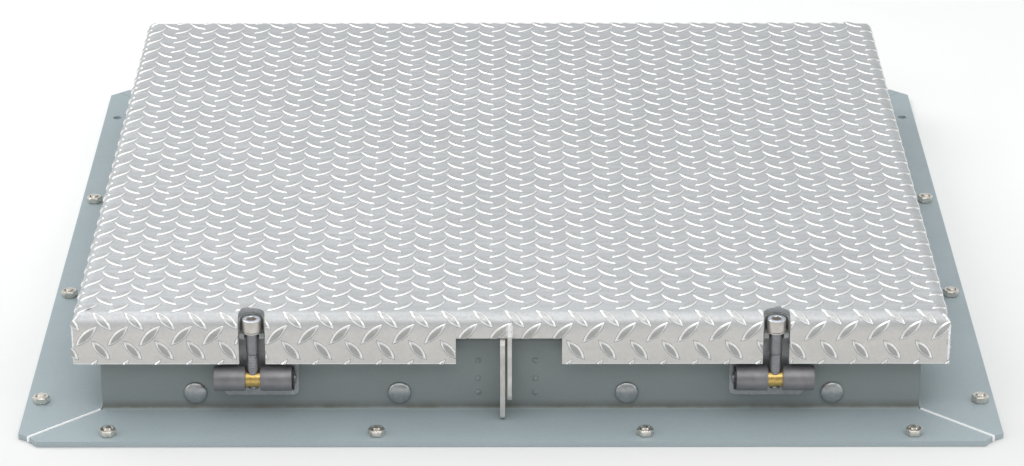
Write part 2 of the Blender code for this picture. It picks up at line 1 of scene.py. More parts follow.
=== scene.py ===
"""Visual model of the deck hatch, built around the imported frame. Metres, +Z up, front faces -Y."""

import math
import random

import bmesh
import bpy
from mathutils import Matrix, Vector


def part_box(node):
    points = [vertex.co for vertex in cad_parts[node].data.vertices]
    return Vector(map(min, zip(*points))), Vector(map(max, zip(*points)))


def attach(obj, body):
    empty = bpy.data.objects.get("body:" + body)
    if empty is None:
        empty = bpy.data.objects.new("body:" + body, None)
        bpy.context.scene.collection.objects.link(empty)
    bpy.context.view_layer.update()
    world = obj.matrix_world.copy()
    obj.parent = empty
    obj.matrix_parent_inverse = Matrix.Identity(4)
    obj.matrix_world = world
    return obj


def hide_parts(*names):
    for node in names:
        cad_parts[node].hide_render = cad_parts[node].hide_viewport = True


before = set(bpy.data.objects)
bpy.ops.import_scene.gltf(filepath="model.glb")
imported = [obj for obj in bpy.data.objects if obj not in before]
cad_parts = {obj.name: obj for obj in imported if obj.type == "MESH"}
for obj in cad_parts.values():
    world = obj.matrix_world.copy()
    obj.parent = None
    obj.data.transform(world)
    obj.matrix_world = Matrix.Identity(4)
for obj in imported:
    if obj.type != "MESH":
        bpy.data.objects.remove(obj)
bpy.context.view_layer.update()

MM = 0.001
GAP = 0.3 * MM

# ---------------------------------------------------------------- dimensions
LID_LOW, LID_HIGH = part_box("lid_plate")
LID_T = 5.0 * MM
LID_BEND_R = 13.0 * MM
LID_CORNER_R = 2.6 * MM
LID_INNER_CORNER_R = 1.0 * MM
LID_HALF_X = LID_HIGH.x
LID_FRONT_Y = LID_LOW.y
LID_REAR_Y = LID_HIGH.y
LID_TOP_Z = LID_HIGH.z
SKIRT_BOTTOM_Z = LID_LOW.z
BEND_Z = LID_TOP_Z - LID_BEND_R
BEND_ARC = LID_BEND_R * math.pi / 2
NOTCH_LEFT_X = -55.2 * MM
NOTCH_RIGHT_X = 51.4 * MM
NOTCH_TOP_Z = 94.7 * MM

PIN_LOW, PIN_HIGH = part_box("latch_pin_right")
LATCH_Y = (PIN_LOW.y + PIN_HIGH.y) / 2
LATCH_Z = (PIN_LOW.z + PIN_HIGH.z) / 2
LATCH_SIDES = []
for latch_side, latch_sign in (("left", -1), ("right", 1)):
    screw_low, screw_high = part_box(f"latch_screw_{latch_side}")
    LATCH_SIDES.append((latch_side, latch_sign, (screw_low.x + screw_high.x) / 2))
SLOT_R = 13.25 * MM
# The tools that open the slots and the notch reach past the sheet.
OPENING_FRONT_Y = -450.0 * MM
OPENING_LOW_Z = 50.0 * MM
OPENING_HIGH_Z = 130.0 * MM
NOTCH_REAR_Y = -415.0 * MM

# The cross pin, measured from the screw outward and toward the hatch's middle.
PIN_OUTER_END = 36.0 * MM
PIN_SHOULDER = 39.4 * MM
PIN_TIP = 4.0 * MM
PIN_TIP_R = 5.4 * MM
PIN_BORE_R = 6.3 * MM
PIN_EDGE = 0.8 * MM

RING_BORE_R = 5.7 * MM
BARREL_BORE_R = 9.0 * MM
WASHER_BORE_R = 6.6 * MM

HEAD_R = 9.5 * MM
HEAD_H = 12.7 * MM
SOCKET_R = 5.5 * MM
SOCKET_DEPTH = 7.0 * MM
SHANK_R = 6.3 * MM
THREAD_R = 6.05 * MM
THREAD_ROOT_R = 5.45 * MM
THREAD_PITCH = 1.75 * MM
THREAD_END_Z = 75.2 * MM

SHEET_T = 6.0 * MM
COAMING_HALF_X = 415.0 * MM
COAMING_HALF_Y = 406.5 * MM
FLANGE_HALF_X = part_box("coaming_right")[1].x
FLANGE_HALF_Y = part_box("coaming_rear")[1].y
CORNER_CUT_X = 20.0 * MM
CORNER_CUT_Y = 18.0 * MM
MITRE_X = 484.4 * MM
MITRE_Y = 471.6 * MM
MITRE_GAP = 3.0 * MM  # wide at the front, where it takes a bead of sealant
REAR_MITRE_GAP = 0.3 * MM
WALL_GAP = 0.15 * MM
THROUGH = 10.0 * MM  # reach of a tool that cuts right through the sheet
COAMING_TOP_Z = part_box("coaming_front")[1].z
LIP_W = 26.0 * MM
BEND_STEPS = 12
LIP_STEPS = 9
EASE = 1.5 * MM  # flat kept beside each bend, so that its shading stays even
FOOT_BEND_R = 3.0 * MM
LIP_BEND_R = 8.0 * MM
SEAM_NEAR = 2.4 * MM
SEAM_SHORT = 0.6 * MM
SEAM_SHIFT = 0.4 * MM
SEAM_HALF_W = 1.35 * MM
SEAM_LOW_Z = 1.0 * MM
SEAM_TOP_Z = 7.3 * MM
SEAM_CROWN = 1.2 * MM
SEAM_STEPS = 60
FLANGE_HOLE_R = 4.9 * MM
FRONT_BOLT_X = (-0.404, -0.1345, 0.1345, 0.404)
SIDE_BOLT_Y = (-0.391, -0.1315, 0.1285, 0.3885)
HOLE_INSET_X = 14.8 * MM
HOLE_INSET_Y = 16.0 * MM
CARRIAGE_X = (-0.320, -0.113, 0.1175, 0.326)
CARRIAGE_Z = 24.0 * MM
DOME_R = 11.8 * MM
DOME_H = 3.8 * MM
CARRIAGE_SHANK_R = 4.6 * MM
CARRIAGE_SHANK_L = 16.0 * MM
NUT_SEGMENTS = 72
NUT_H = 6.5 * MM
NUT_CORNER_R = 8.9 * MM
NUT_BORE_R = 4.75 * MM
STUD_R = 4.55 * MM
STUD_ROOT_R = 4.2 * MM
STUD_PITCH = 1.2 * MM
RIVET_HEAD_R = 2.75 * MM
RIVET_HEAD_H = 1.4 * MM
RIVET_SHANK_R = 2.2 * MM
RIVET_X = (-33.2 * MM, 25.0 * MM)
RIVET_Z = (60.1 * MM, 39.9 * MM, 24.3 * MM)
RIVET_HOLE_R = 2.5 * MM

# Tread pattern: two lozenges per square cell, one leaning each way.
PITCH = 31.75 * MM
LUG_LEN = 28.5 * MM
LUG_W = 8.4 * MM
LUG_RISE_X = 19.4 * MM
LUG_FALL_X = 3.5 * MM
LUG_RISE_T = -11.7 * MM
LUG_FALL_T = -27.6 * MM
BEND_ROW_SLOPE = 0.0075
# Rows of the front bend and skirt, by their first place on the lattice. Each row: shift beside it,
# distance past the bend's start, slope, whether it rises, length, width, lean in degrees.
SKIRT_ROWS = (
    (LUG_FALL_X, ((0.0, 10.2 * MM, BEND_ROW_SLOPE, False, 27.7 * MM, 8.2 * MM, 45),)),
    (LUG_RISE_X, (
        (0.0, 26.3 * MM, BEND_ROW_SLOPE, True, 30.6 * MM, 9.0 * MM, 45),
        (1.5 * MM, 67.0 * MM, 0.0, True, 29.0 * MM, 6.6 * MM, 54),
    )),
    (1.5 * MM, ((0.0, 45.0 * MM, 0.0, False, 26.8 * MM, 9.0 * MM, 50),)),
)


# ---------------------------------------------------------------- mesh helpers
def link(name, mesh):
    obj = bpy.data.objects.new(name, mesh)
    bpy.context.collection.objects.link(obj)
    return obj


def finish_mesh(name, bm, material, smooth_angle=35):
    """Turns a bmesh into an object, smooth except where faces meet at more than smooth_angle."""
    bmesh.ops.recalc_face_normals(bm, faces=bm.faces)
    mesh = bpy.data.meshes.new(name)
    bm.to_mesh(mesh)
    bm.free()
    return dress(link(name, mesh), material, smooth_angle)


def dress(obj, material, smooth_angle=35):
    mesh = obj.data
    mesh.materials.clear()
    mesh.materials.append(material)
    mesh.polygons.foreach_set("material_index", [0] * len(mesh.polygons))
    mesh.polygons.foreach_set("use_smooth", [True] * len(mesh.polygons))
    mesh.set_sharp_from_angle(angle=math.radians(smooth_angle))
    return obj


def paint(obj, material, chosen):
    """Gives the faces whose middle is chosen one more material."""
    mesh = obj.data
    mesh.materials.append(MAT[material])
    for poly in mesh.polygons:
        if chosen(poly.center):
            poly.material_index = len(mesh.materials) - 1


def flatten_normals(obj):
    """Weighs the corner normals by face area, so that wide flats stay flat between rounded edges."""
    mod = obj.modifiers.new("normals", "WEIGHTED_NORMAL")
    mod.mode = "FACE_AREA"
    mod.weight = 100
    mod.keep_sharp = True
    return apply_modifiers(obj)


def apply_modifiers(obj):
    bpy.context.view_layer.update()
    graph = bpy.context.evaluated_depsgraph_get()
    mesh = bpy.data.meshes.new_from_object(obj.evaluated_get(graph))
    obj.modifiers.clear()
    mesh.name = obj.name
    obj.data = mesh
    return obj


def cut(target, *tools):
    for cutter in tools:
        mod = target.modifiers.new("cut", "BOOLEAN")
        mod.operation = "DIFFERENCE"
        mod.solver = "EXACT"
        mod.object = cutter
        apply_modifiers(target)
        bpy.data.objects.remove(cutter, do_unlink=True)
    return target


def bevel(obj, width, segments=2, angle=35):
    """Rounds the edges sharper than angle, and keeps the flats flat."""
    bm = bmesh.new()
    bm.from_mesh(obj.data)
    bmesh.ops.remove_doubles(bm, verts=bm.verts, dist=0.002 * MM)
    bmesh.ops.dissolve_limit(bm, angle_limit=math.radians(0.4), verts=bm.verts, edges=bm.edges)
    bm.to_mesh(obj.data)
    bm.free()
    mod = obj.modifiers.new("bevel", "BEVEL")
    mod.width = width
    mod.segments = segments
    mod.limit_method = "ANGLE"
    mod.angle_limit = math.radians(angle)
    mod.use_clamp_overlap = True
    return apply_modifiers(obj)


def join_rings(bm, rings):
    """Skins closed rings of the same count one after the other, and caps both ends."""
    for a, b in zip(rings, rings[1:]):
        for i in range(len(a)):
            j = (i + 1) % len(a)
            bm.faces.new((a[i], a[j], b[j], b[i]))
    bm.faces.new(rings[0])
    bm.faces.new(list(reversed(rings[-1])))


def circle(a, b, radius, segments, start=0.0):
    step = 2 * math.pi / segments
    return [
        (a + radius * math.cos(start + i * step), b + radius * math.sin(start + i * step))
        for i in range(segments)
    ]


def arc(a, b, radius, begin, end, segments):
    """Points on an arc, angles in degrees, both ends included."""
    points = []
    for i in range(segments + 1):
        angle = math.radians(begin + (end - begin) * i / segments)
        points.append((a + radius * math.cos(angle), b + radius * math.sin(angle)))
    return points


def tool(outline, axis, low, high):
    """A cutting tool: a polygon in the plane across axis, extruded along it from low to high."""
    bm = bmesh.new()
    rings = []
    for level in (low, high):
        ring = []
        for a, b in outline:
            places = {"X": (level, a, b), "Y": (a, level, b), "Z": (a, b, level)}
            ring.append(bm.verts.new(places[axis]))
        rings.append(ring)
    join_rings(bm, rings)
    return finish_mesh("tool", bm, MAT["steel"])


def box_tool(low, high):
    outline = [(low[0], low[1]), (high[0], low[1]), (high[0], high[1]), (low[0], high[1])]
    return tool(outline, "Z", low[2], high[2])


def hole(axis, a, b, radius, low, high, segments=40):
    return tool(circle(a, b, radius, segments), axis, low, high)


def lathe_mesh(axis, centre, profile, segments):
    """A solid of revolution. The profile runs (radius, height) from the axis back to the axis."""
    bm = bmesh.new()
    rings = []
    for radius, height in profile:
        if radius < 1e-9:
            rings.append([bm.verts.new((0, 0, height))])
        else:
            ring = [bm.verts.new((x, y, height)) for x, y in circle(0, 0, radius, segments)]
            rings.append(ring)
    pairs = list(zip(rings, rings[1:]))
    if profile[0][0] > 1e-9:
        pairs.append((rings[-1], rings[0]))
    for low, high in pairs:
        for i in range(segments):
            j = (i + 1) % segments
            if len(low) == 1:
                bm.faces.new((low[0], high[i], high[j]))
            elif len(high) == 1:
                bm.faces.new((low[i], low[j], high[0]))
            else:
                bm.faces.new((low[i], low[j], high[j], high[i]))
    turn = Vector((0, 0, 1)).rotation_difference(Vector(axis)).to_matrix().to_4x4()
    bmesh.ops.transform(bm, matrix=Matrix.Translation(centre) @ turn, verts=bm.verts)
    return bm


def lathe(name, axis, centre, profile, segments, material, smooth_angle=28):
    return finish_mesh(name, lathe_mesh(axis, centre, profile, segments), material, smooth_angle)


def stand_in(obj, body, slot, *nodes):
    """The piece rides on a body and is shown in place of the CAD nodes."""
    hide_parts(*nodes)
    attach(obj, body)
    return obj


def refine(node, body, slot, material, width, segments=2):
    """A copy of a CAD node with its edges rounded, shown in place of the node."""
    obj = link(node + ".finished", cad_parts[node].data.copy())
    bevel(obj, width, segments)
    flatten_normals(dress(obj, material, 50))
    return stand_in(obj, body, slot, node)


# ---------------------------------------------------------------- materials
def set_range(node, low, high, out_low, out_high):
    node.inputs["From Min"].default_value = low
    node.inputs["From Max"].default_value = high
    node.inputs["To Min"].default_value = out_low
    node.inputs["To Max"].default_value = out_high


class Shade:
    """Small builder for one procedural material."""

    def __init__(self, name):
        self.mat = bpy.data.materials.new(name)
        self.mat.use_nodes = True
        self.tree = self.mat.node_tree
        self.bsdf = self.tree.nodes["Principled BSDF"]
        self.coord = self.tree.nodes.new("ShaderNodeTexCoord").outputs["Object"]

    def node(self, kind, **values):
        made = self.tree.nodes.new(kind)
        for key, value in values.items():
            setattr(made, key, value)
        return made

    def join(self, a, b):
        self.tree.links.new(a, b)

    def set(self, **values):
        for key, value in values.items():
            self.bsdf.inputs[key.replace("_", " ")].default_value = value
        return self

    def noise(self, scale, detail=3.0, stretch=(1, 1, 1), rough=0.5):
        mapping = self.node("ShaderNodeMapping")
        mapping.inputs["Scale"].default_value = stretch
        self.join(self.coord, mapping.inputs["Vector"])
        tex = self.node("ShaderNodeTexNoise")
        tex.inputs["Scale"].default_value = scale
        tex.inputs["Detail"].default_value = detail
        tex.inputs["Roughness"].default_value = rough
        self.join(mapping.outputs["Vector"], tex.inputs["Vector"])
        return tex.outputs["Fac"]

    def ramp(self, fac, *stops):
        """stops are (position, (r, g, b)) or (position, value)."""
        ramp = self.node("ShaderNodeValToRGB")
        elements = ramp.color_ramp.elements
        while len(elements) < len(stops):
            elements.new(0.5)
        for element, (place, value) in zip(elements, stops):
            element.position = place
            colour = value if isinstance(value, tuple) else (value, value, value)
            element.color = (*colour, 1.0)
        self.join(fac, ramp.inputs["Fac"])
        return ramp.outputs["Color"]

    def mix(self, fac, a, b, blend="MIX"):
        mix = self.node("ShaderNodeMix", data_type="RGBA", blend_type=blend)
        for value, index in ((fac, 0), (a, 6), (b, 7)):
            if isinstance(value, (float, int)):
                mix.inputs[index].default_value = value
            elif isinstance(value, tuple):
                mix.inputs[index].default_value = (*value, 1.0)
            else:
                self.join(value, mix.inputs[index])
        return mix.outputs[2]

    def span(self, value, low, high, out_low=0.0, out_high=1.0):
        """Maps low..high of a number onto out_low..out_high, clamped."""
        node = self.node("ShaderNodeMapRange")
        self.join(value, node.inputs["Value"])
        set_range(node, low, high, out_low, out_high)
        return node.outputs["Result"]

    def math(self, operation, a, b):
        node = self.node("ShaderNodeMath", operation=operation)
        for value, socket in ((a, node.inputs[0]), (b, node.inputs[1])):
            if isinstance(value, (float, int)):
                socket.default_value = value
            else:
                self.join(value, socket)
        return node.outputs[0]

    def axis(self, name):
        split = self.node("ShaderNodeSeparateXYZ")
        self.join(self.coord, split.inputs[0])
        return split.outputs[name]

    def attribute(self, name):
        node = self.node("ShaderNodeAttribute", attribute_name=name)
        return node.outputs["Fac"]

    def colour(self, value):
        self.join(value, self.bsdf.inputs["Base Color"])
        return self

    def roughness(self, value):
        self.join(value, self.bsdf.inputs["Roughness"])
        return self

    def bump(self, height, strength, distance):
        node = self.node("ShaderNodeBump")
        node.inputs["Strength"].default_value = strength
        node.inputs["Distance"].default_value = distance
        self.join(height, node.inputs["Height"])
        self.join(node.outputs["Normal"], self.bsdf.inputs["Normal"])
        return self


def coated_material():
    """Blue-grey coating on the bent frame: faint mottling, orange peel, painted shade along the crease
    at the foot, and the upright wall painted darker as painted shade.
    """
    s = Shade("frame_coating").set(Metallic=0.0, Specular_IOR_Level=0.45)
    wide = s.ramp(s.noise(7, 3), (0.32, (0.368, 0.436, 0.460)), (0.68, (0.390, 0.460, 0.485)))
    fine = s.ramp(s.noise(420, 3), (0.35, 0.97), (0.65, 1.02))
    tone = s.mix(1.0, wide, fine, "MULTIPLY")
    # Painted shade: a darker band up the crease where the wall bends into the flange.
    near_foot = s.span(s.axis("Z"), 0.0085, 0.0165, 1.0, 0.0)
    on_foot = s.span(s.axis("Z"), 0.0061, 0.0070, 0.0, 1.0)
    band = s.math("MULTIPLY", near_foot, on_foot)
    foot_shade = s.math("MULTIPLY", band, s.span(s.noise(60, 3), 0.3, 0.7, 0.55, 0.95))
    foot_shaded = s.mix(foot_shade, tone, (0.17, 0.165, 0.135))
    # Painted shade: the upright wall above the foot is painted darker than the flange.
    wall = s.math("MULTIPLY", s.span(s.axis("Z"), 0.0065, 0.010), 0.54)
    s.colour(s.mix(wall, foot_shaded, (0.185, 0.19, 0.17)))
    s.roughness(s.span(s.noise(35, 4), 0.3, 0.7, 0.36, 0.52))
    s.bump(s.noise(900, 2), 0.07, 0.0003)
    return s.mat


def sheet_material():
    """Rolled aluminium between the lugs: faint rolling streaks and a matt, finely pitted skin; the
    skirt and bend painted brighter and warmer as painted light, with a painted highlight along the
    skirt's lower edge.
    """
    s = Shade("tread_sheet").set(Metallic=1.0)
    streak = s.noise(60, 4, (0.25, 3.0, 1.0))
    wide = s.ramp(s.noise(9, 3), (0.3, (0.605, 0.613, 0.62)), (0.7, (0.65, 0.658, 0.666)))
    fine = s.ramp(streak, (0.3, 0.93), (0.7, 1.05))
    grain = s.ramp(s.noise(650, 2), (0.3, 0.93), (0.7, 1.04))
    rolled = s.mix(1.0, s.mix(1.0, wide, fine, "MULTIPLY"), grain, "MULTIPLY")
    # Painted light: the skirt and bend are painted brighter and warmer than the top.
    skirt = s.mix(s.span(s.axis("Z"), 0.100, 0.1165, 0.6, 0.0), rolled, (0.82, 0.785, 0.74))
    # Painted highlight: a near-white strip along the skirt's bottom edge.
    s.colour(s.mix(s.span(s.axis("Z"), 0.0666, 0.0678, 1.0, 0.0), skirt, (0.98, 0.98, 0.97)))
    s.roughness(s.span(s.noise(300, 4), 0.3, 0.7, 0.5, 0.66))
    s.bump(s.noise(800, 3), 0.22, 0.0005)
    return s.mat


def lug_material():
    """Raised lugs: flanks painted near white for wear and as a painted highlight, duller crowns painted
    darker on the skirt as painted shade, and painted shade around the foot.
    """
    s = Shade("tread_lug").set(Metallic=0.85)
    rim = s.attribute("rim")
    crown = s.ramp(s.noise(500, 4), (0.3, (0.52, 0.52, 0.515)), (0.7, (0.64, 0.64, 0.635)))
    # Painted shade: crowns on the skirt are painted darker than those on the top.
    crown = s.mix(s.span(s.axis("Z"), 0.100, 0.110, 0.55, 0.0), crown, (0.34, 0.325, 0.30))
    # Flanks painted near white: worn metal and a painted highlight.
    lit = s.mix(s.span(rim, 0.0, 0.6), crown, (0.98, 0.98, 0.97))
    # Painted shade: a near-black ring round each lug's foot, where it meets the sheet.
    s.colour(s.mix(s.span(rim, -0.9, -0.1, 1.0, 0.0), lit, (0.09, 0.09, 0.085)))
    grain = s.span(s.noise(240, 3), 0.3, 0.7, -0.05, 0.05)
    s.roughness(s.math("ADD", s.span(rim, 0, 1, 0.46, 0.36), grain))
    s.bump(s.noise(900, 3), 0.2, 0.0004)
    return s.mat


def weld_material():
    s = Shade("weld_bead").set(Metallic=0.45)
    tone = s.ramp(s.noise(260, 4), (0.3, (0.84, 0.84, 0.83)), (0.62, (0.99, 0.99, 0.98)))
    s.colour(tone)
    s.roughness(s.span(s.noise(400, 3), 0.3, 0.7, 0.25, 0.5))
    s.bump(s.noise(600, 3), 0.35, 0.0006)
    return s.mat


def steel_material(name, dark, light, rough, metallic=1.0, grain=300, bump=0.12):
    """Machined or plated metal with soft tone changes, fine grain and uneven gloss."""
    s = Shade(name).set(Metallic=metallic)
    tone = s.ramp(s.noise(grain, 4), (0.3, dark), (0.7, light))
    wide = s.ramp(s.noise(45, 3), (0.3, 0.88), (0.7, 1.06))
    s.colour(s.mix(1.0, tone, wide, "MULTIPLY"))
    s.roughness(s.span(s.noise(160, 4), 0.3, 0.7, rough - 0.06, rough + 0.1))
    s.bump(s.noise(1400, 3), bump, 0.0003)
    return s.mat


def liner_material():
    """Dark slot liner with faint slanting tool marks."""
    s = Shade("slot_liner").set(Metallic=0.3)
    marks = s.noise(150, 4, (1.0, 0.4, 2.5))
    s.colour(s.ramp(marks, (0.3, (0.24, 0.255, 0.25)), (0.7, (0.40, 0.415, 0.41))))
    s.roughness(s.span(marks, 0.3, 0.7, 0.45, 0.65))
    s.bump(marks, 0.3, 0.0006)
    return s.mat


def rubber_material():
    s = Shade("seal_rubber").set(Metallic=0.0)
    s.colour(s.ramp(s.noise(700, 3), (0.3, (0.012, 0.012, 0.013)), (0.7, (0.028, 0.028, 0.029))))
    s.roughness(s.span(s.noise(90, 3), 0.3, 0.7, 0.62, 0.82))
    s.bump(s.noise(1800, 2), 0.2, 0.0003)
    return s.mat


def sealant_material():
    """White seam sealant, a little uneven."""
    s = Shade("seam_sealant").set(Metallic=0.0)
    s.colour(s.ramp(s.noise(220, 3), (0.3, (0.95, 0.96, 0.97)), (0.7, (1.0, 1.0, 1.0))))
    s.roughness(s.span(s.noise(300, 3), 0.3, 0.7, 0.4, 0.6))
    s.bump(s.noise(500, 3), 0.3, 0.0005)
    return s.mat


def floor_material():
    s = Shade("floor").set(Metallic=0.0, Specular_IOR_Level=0.0)
    faint = s.ramp(s.noise(2, 2), (0.3, 0.99), (0.7, 1.0))
    # Painted shade: the floor is painted darker towards the front.
    near, far = (0.76, 0.755, 0.75), (0.99, 0.985, 0.975)
    front_shade_sweep = s.ramp(s.span(s.axis("Y"), -0.9, 0.2), (0.0, near), (1.0, far))
    s.colour(s.mix(1.0, front_shade_sweep, faint, "MULTIPLY"))
    s.roughness(s.span(s.noise(5, 2), 0.3, 0.7, 0.85, 0.95))
    return s.mat


MAT = {
    "coated": coated_material(),
    "sheet": sheet_material(),
    "lug": lug_material(),
    "weld": weld_material(),
    "liner": liner_material(),
    "rubber": rubber_material(),
    "sealant": sealant_material(),
    "floor": floor_material(),
}
# Each metal: name, darker and lighter tone, roughness, and where they differ metallic, grain, bump.
for metal, *values in (
    ("steel", "barrel_steel", (0.23, 0.225, 0.235), (0.27, 0.262, 0.275), 0.38, 0.5, 120, 0.06),
    ("plate", "latch_plate_steel", (0.42, 0.43, 0.44), (0.52, 0.53, 0.54), 0.42, 0.4),
    ("dome", "dome_steel", (0.46, 0.47, 0.475), (0.56, 0.57, 0.575), 0.34, 1.0),
    ("zinc", "yellow_zinc", (0.62, 0.42, 0.12), (0.80, 0.58, 0.22), 0.3, 0.85),
    ("screw", "screw_steel", (0.58, 0.54, 0.50), (0.72, 0.68, 0.64), 0.34, 0.8, 140, 0.06),
    ("shank", "shank_steel", (0.24, 0.24, 0.255), (0.30, 0.30, 0.315), 0.36, 0.7, 140, 0.06),
    ("bright", "head_steel", (0.62, 0.65, 0.72), (0.84, 0.88, 0.94), 0.3),
    ("nickel", "nickel_nut", (0.70, 0.65, 0.58), (0.92, 0.88, 0.82), 0.26),
    ("lug_steel", "hasp_steel", (0.58, 0.57, 0.54), (0.68, 0.67, 0.64), 0.42, 0.4, 90, 0.06),
    ("hinge", "hinge_steel", (0.30, 0.30, 0.31), (0.44, 0.44, 0.45), 0.38, 0.8),
    ("black", "black_ring", (0.02, 0.02, 0.022), (0.05, 0.05, 0.055), 0.45, 0.3),
):
    MAT[metal] = steel_material(*values)


# ---------------------------------------------------------------- frame
def section_pairs(flange_w, mitre_w):
    """The bent sheet's outer and inner surface points, from the flange's edge to the lip's."""
    t = SHEET_T
    foot = FOOT_BEND_R + EASE
    pairs = [((o, t), (o, 0.0)) for o in (flange_w, mitre_w, foot)]
    cz = t + FOOT_BEND_R
    for c, s in arc(0, 0, 1.0, 270, 180, BEND_STEPS):
        outer = (FOOT_BEND_R + FOOT_BEND_R * c, cz + FOOT_BEND_R * s)
        inner = (FOOT_BEND_R + (FOOT_BEND_R + t) * c, cz + (FOOT_BEND_R + t) * s)
        pairs.append((outer, inner))
    for z in (t + foot, COAMING_TOP_Z - LIP_BEND_R - EASE):
        pairs.append(((0.0, z), (-t, z)))
    cz = COAMING_TOP_Z - LIP_BEND_R
    for c, s in arc(0, 0, 1.0, 0, 90, LIP_STEPS):
        outer = (-LIP_BEND_R + LIP_BEND_R * c, cz + LIP_BEND_R * s)
        inner = (-LIP_BEND_R + (LIP_BEND_R - t) * c, cz + (LIP_BEND_R - t) * s)
        pairs.append((outer, inner))
    for o in (-LIP_BEND_R - EASE, -LIP_W):
        pairs.append(((o, COAMING_TOP_Z), (o, COAMING_TOP_Z - t)))
    return pairs


def coaming_side(name, turns):
    """One mitred side of the frame. turns counts quarter turns from the front."""
    along_x = turns % 2 == 0
    half_len = COAMING_HALF_X if along_x else COAMING_HALF_Y
    half_off = COAMING_HALF_Y if along_x else COAMING_HALF_X
    flange_w = (FLANGE_HALF_Y if along_x else FLANGE_HALF_X) - half_off
    mitre_w = (MITRE_Y if along_x else MITRE_X) - half_off
    mitre_len = MITRE_X if along_x else MITRE_Y
    edge_len = FLANGE_HALF_X - CORNER_CUT_X if along_x else FLANGE_HALF_Y - CORNER_CUT_Y
    slope = (mitre_len - half_len) / mitre_w
    front_ends = {0: (-1, 1), 1: (-1,), 2: (), 3: (1,)}[turns]

    def end_length(o, end):
        if o >= flange_w - 1e-9:
            return edge_len
        if o <= 0:
            return half_len + o - WALL_GAP
        wide = MITRE_GAP if end in front_ends else REAR_MITRE_GAP
        return half_len + slope * o - WALL_GAP - (wide - WALL_GAP) * min(1.0, o / FOOT_BEND_R)

    bm = bmesh.new()
    rows = []
    for outer, inner in section_pairs(flange_w, mitre_w):
        row = []
        for side in (-1, 1):
            for o, z in (outer, inner):
                row.append(bm.verts.new((side * end_length(o, side), -(half_off + o), z)))
        rows.append(row)
    for a, b in zip(rows, rows[1:]):
        bm.faces.new((a[0], a[2], b[2], b[0]))
        bm.faces.new((a[1], b[1], b[3], a[3]))
        bm.faces.new((a[0], b[0], b[1], a[1]))
        bm.faces.new((a[2], a[3], b[3], b[2]))
    for row in (rows[0], rows[-1]):
        bm.faces.new((row[0], row[1], row[3], row[2]))
    turn = Matrix.Rotation(turns * math.pi / 2, 3, "Z")
    bmesh.ops.rotate(bm, cent=(0, 0, 0), matrix=turn, verts=bm.verts)
    side = finish_mesh(name, bm, MAT["coated"])
    sign = {0: -1, 1: 1, 2: 1, 3: -1}[turns]
    if along_x:
        places = [(x, sign * (FLANGE_HALF_Y - HOLE_INSET_Y)) for x in FRONT_BOLT_X]
    else:
        places = [(sign * (FLANGE_HALF_X - HOLE_INSET_X), y) for y in SIDE_BOLT_Y]
    tools = [hole("Z", x, y, FLANGE_HOLE_R, -THROUGH, 2 * THROUGH) for x, y in places]
    if turns == 0:
        low, high = -COAMING_HALF_Y - THROUGH, -COAMING_HALF_Y + THROUGH
        tools += [hole("Y", x, CARRIAGE_Z, FLANGE_HOLE_R, low, high) for x in CARRIAGE_X]
        for x in RIVET_X:
            tools += [hole("Y", x, z, RIVET_HOLE_R, low, high, 24) for z in RIVET_Z]
    cut(side, *tools)
    bevel(side, 0.5 * MM, 2, 40)
    return flatten_normals(dress(side, MAT["coated"], 50))


def build_frame():
    for turns, where in enumerate(("front", "right", "rear", "left")):
        side = coaming_side(f"frame_side_{where}", turns)
        stand_in(side, "frame", "coated", f"coaming_{where}")


def seam_bead(name, sx, rng):
    """A bead of sealant along a front mitre, from the wall's corner to the clipped flange corner."""
    near = SEAM_NEAR
    start = Vector((sx * (COAMING_HALF_X + near), -(COAMING_HALF_Y + near), 0))
    end = Vector((sx * (MITRE_X - SEAM_SHORT), -(MITRE_Y - SEAM_SHORT), 0))
    along = (end - start).normalized()
    across = Vector((-along.y, along.x, 0))
    if across.y > 0:
        across = -across
    shift = across * SEAM_SHIFT
    up = Vector((0, 0, 1))
    bm = bmesh.new()
    rings = []
    for i in range(SEAM_STEPS + 1):
        place = start.lerp(end, i / SEAM_STEPS) + shift
        width = SEAM_HALF_W + (0.05 * math.sin(i * 1.7) + rng.uniform(-0.03, 0.03)) * MM
        top = SEAM_TOP_Z + (0.08 * math.sin(i * 0.9 + 1.0) + rng.uniform(-0.04, 0.04)) * MM
        ring = [bm.verts.new(place - across * width + up * SEAM_LOW_Z)]
        for c, s in arc(0, 0, 1.0, 180, 0, 6):
            height = top + SEAM_CROWN * (s - 1)
            ring.append(bm.verts.new(place + across * (width * c) + up * height))
        ring.append(bm.verts.new(place + across * width + up * SEAM_LOW_Z))
        rings.append(ring)
    join_rings(bm, rings)
    seam = finish_mesh(name, bm, MAT["sealant"], 50)
    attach(seam, "frame")


def build_seams():
    rng = random.Random(5)
    seam_bead("mitre_seam_front_left", -1, rng)
    seam_bead("mitre_seam_front_right", 1, rng)


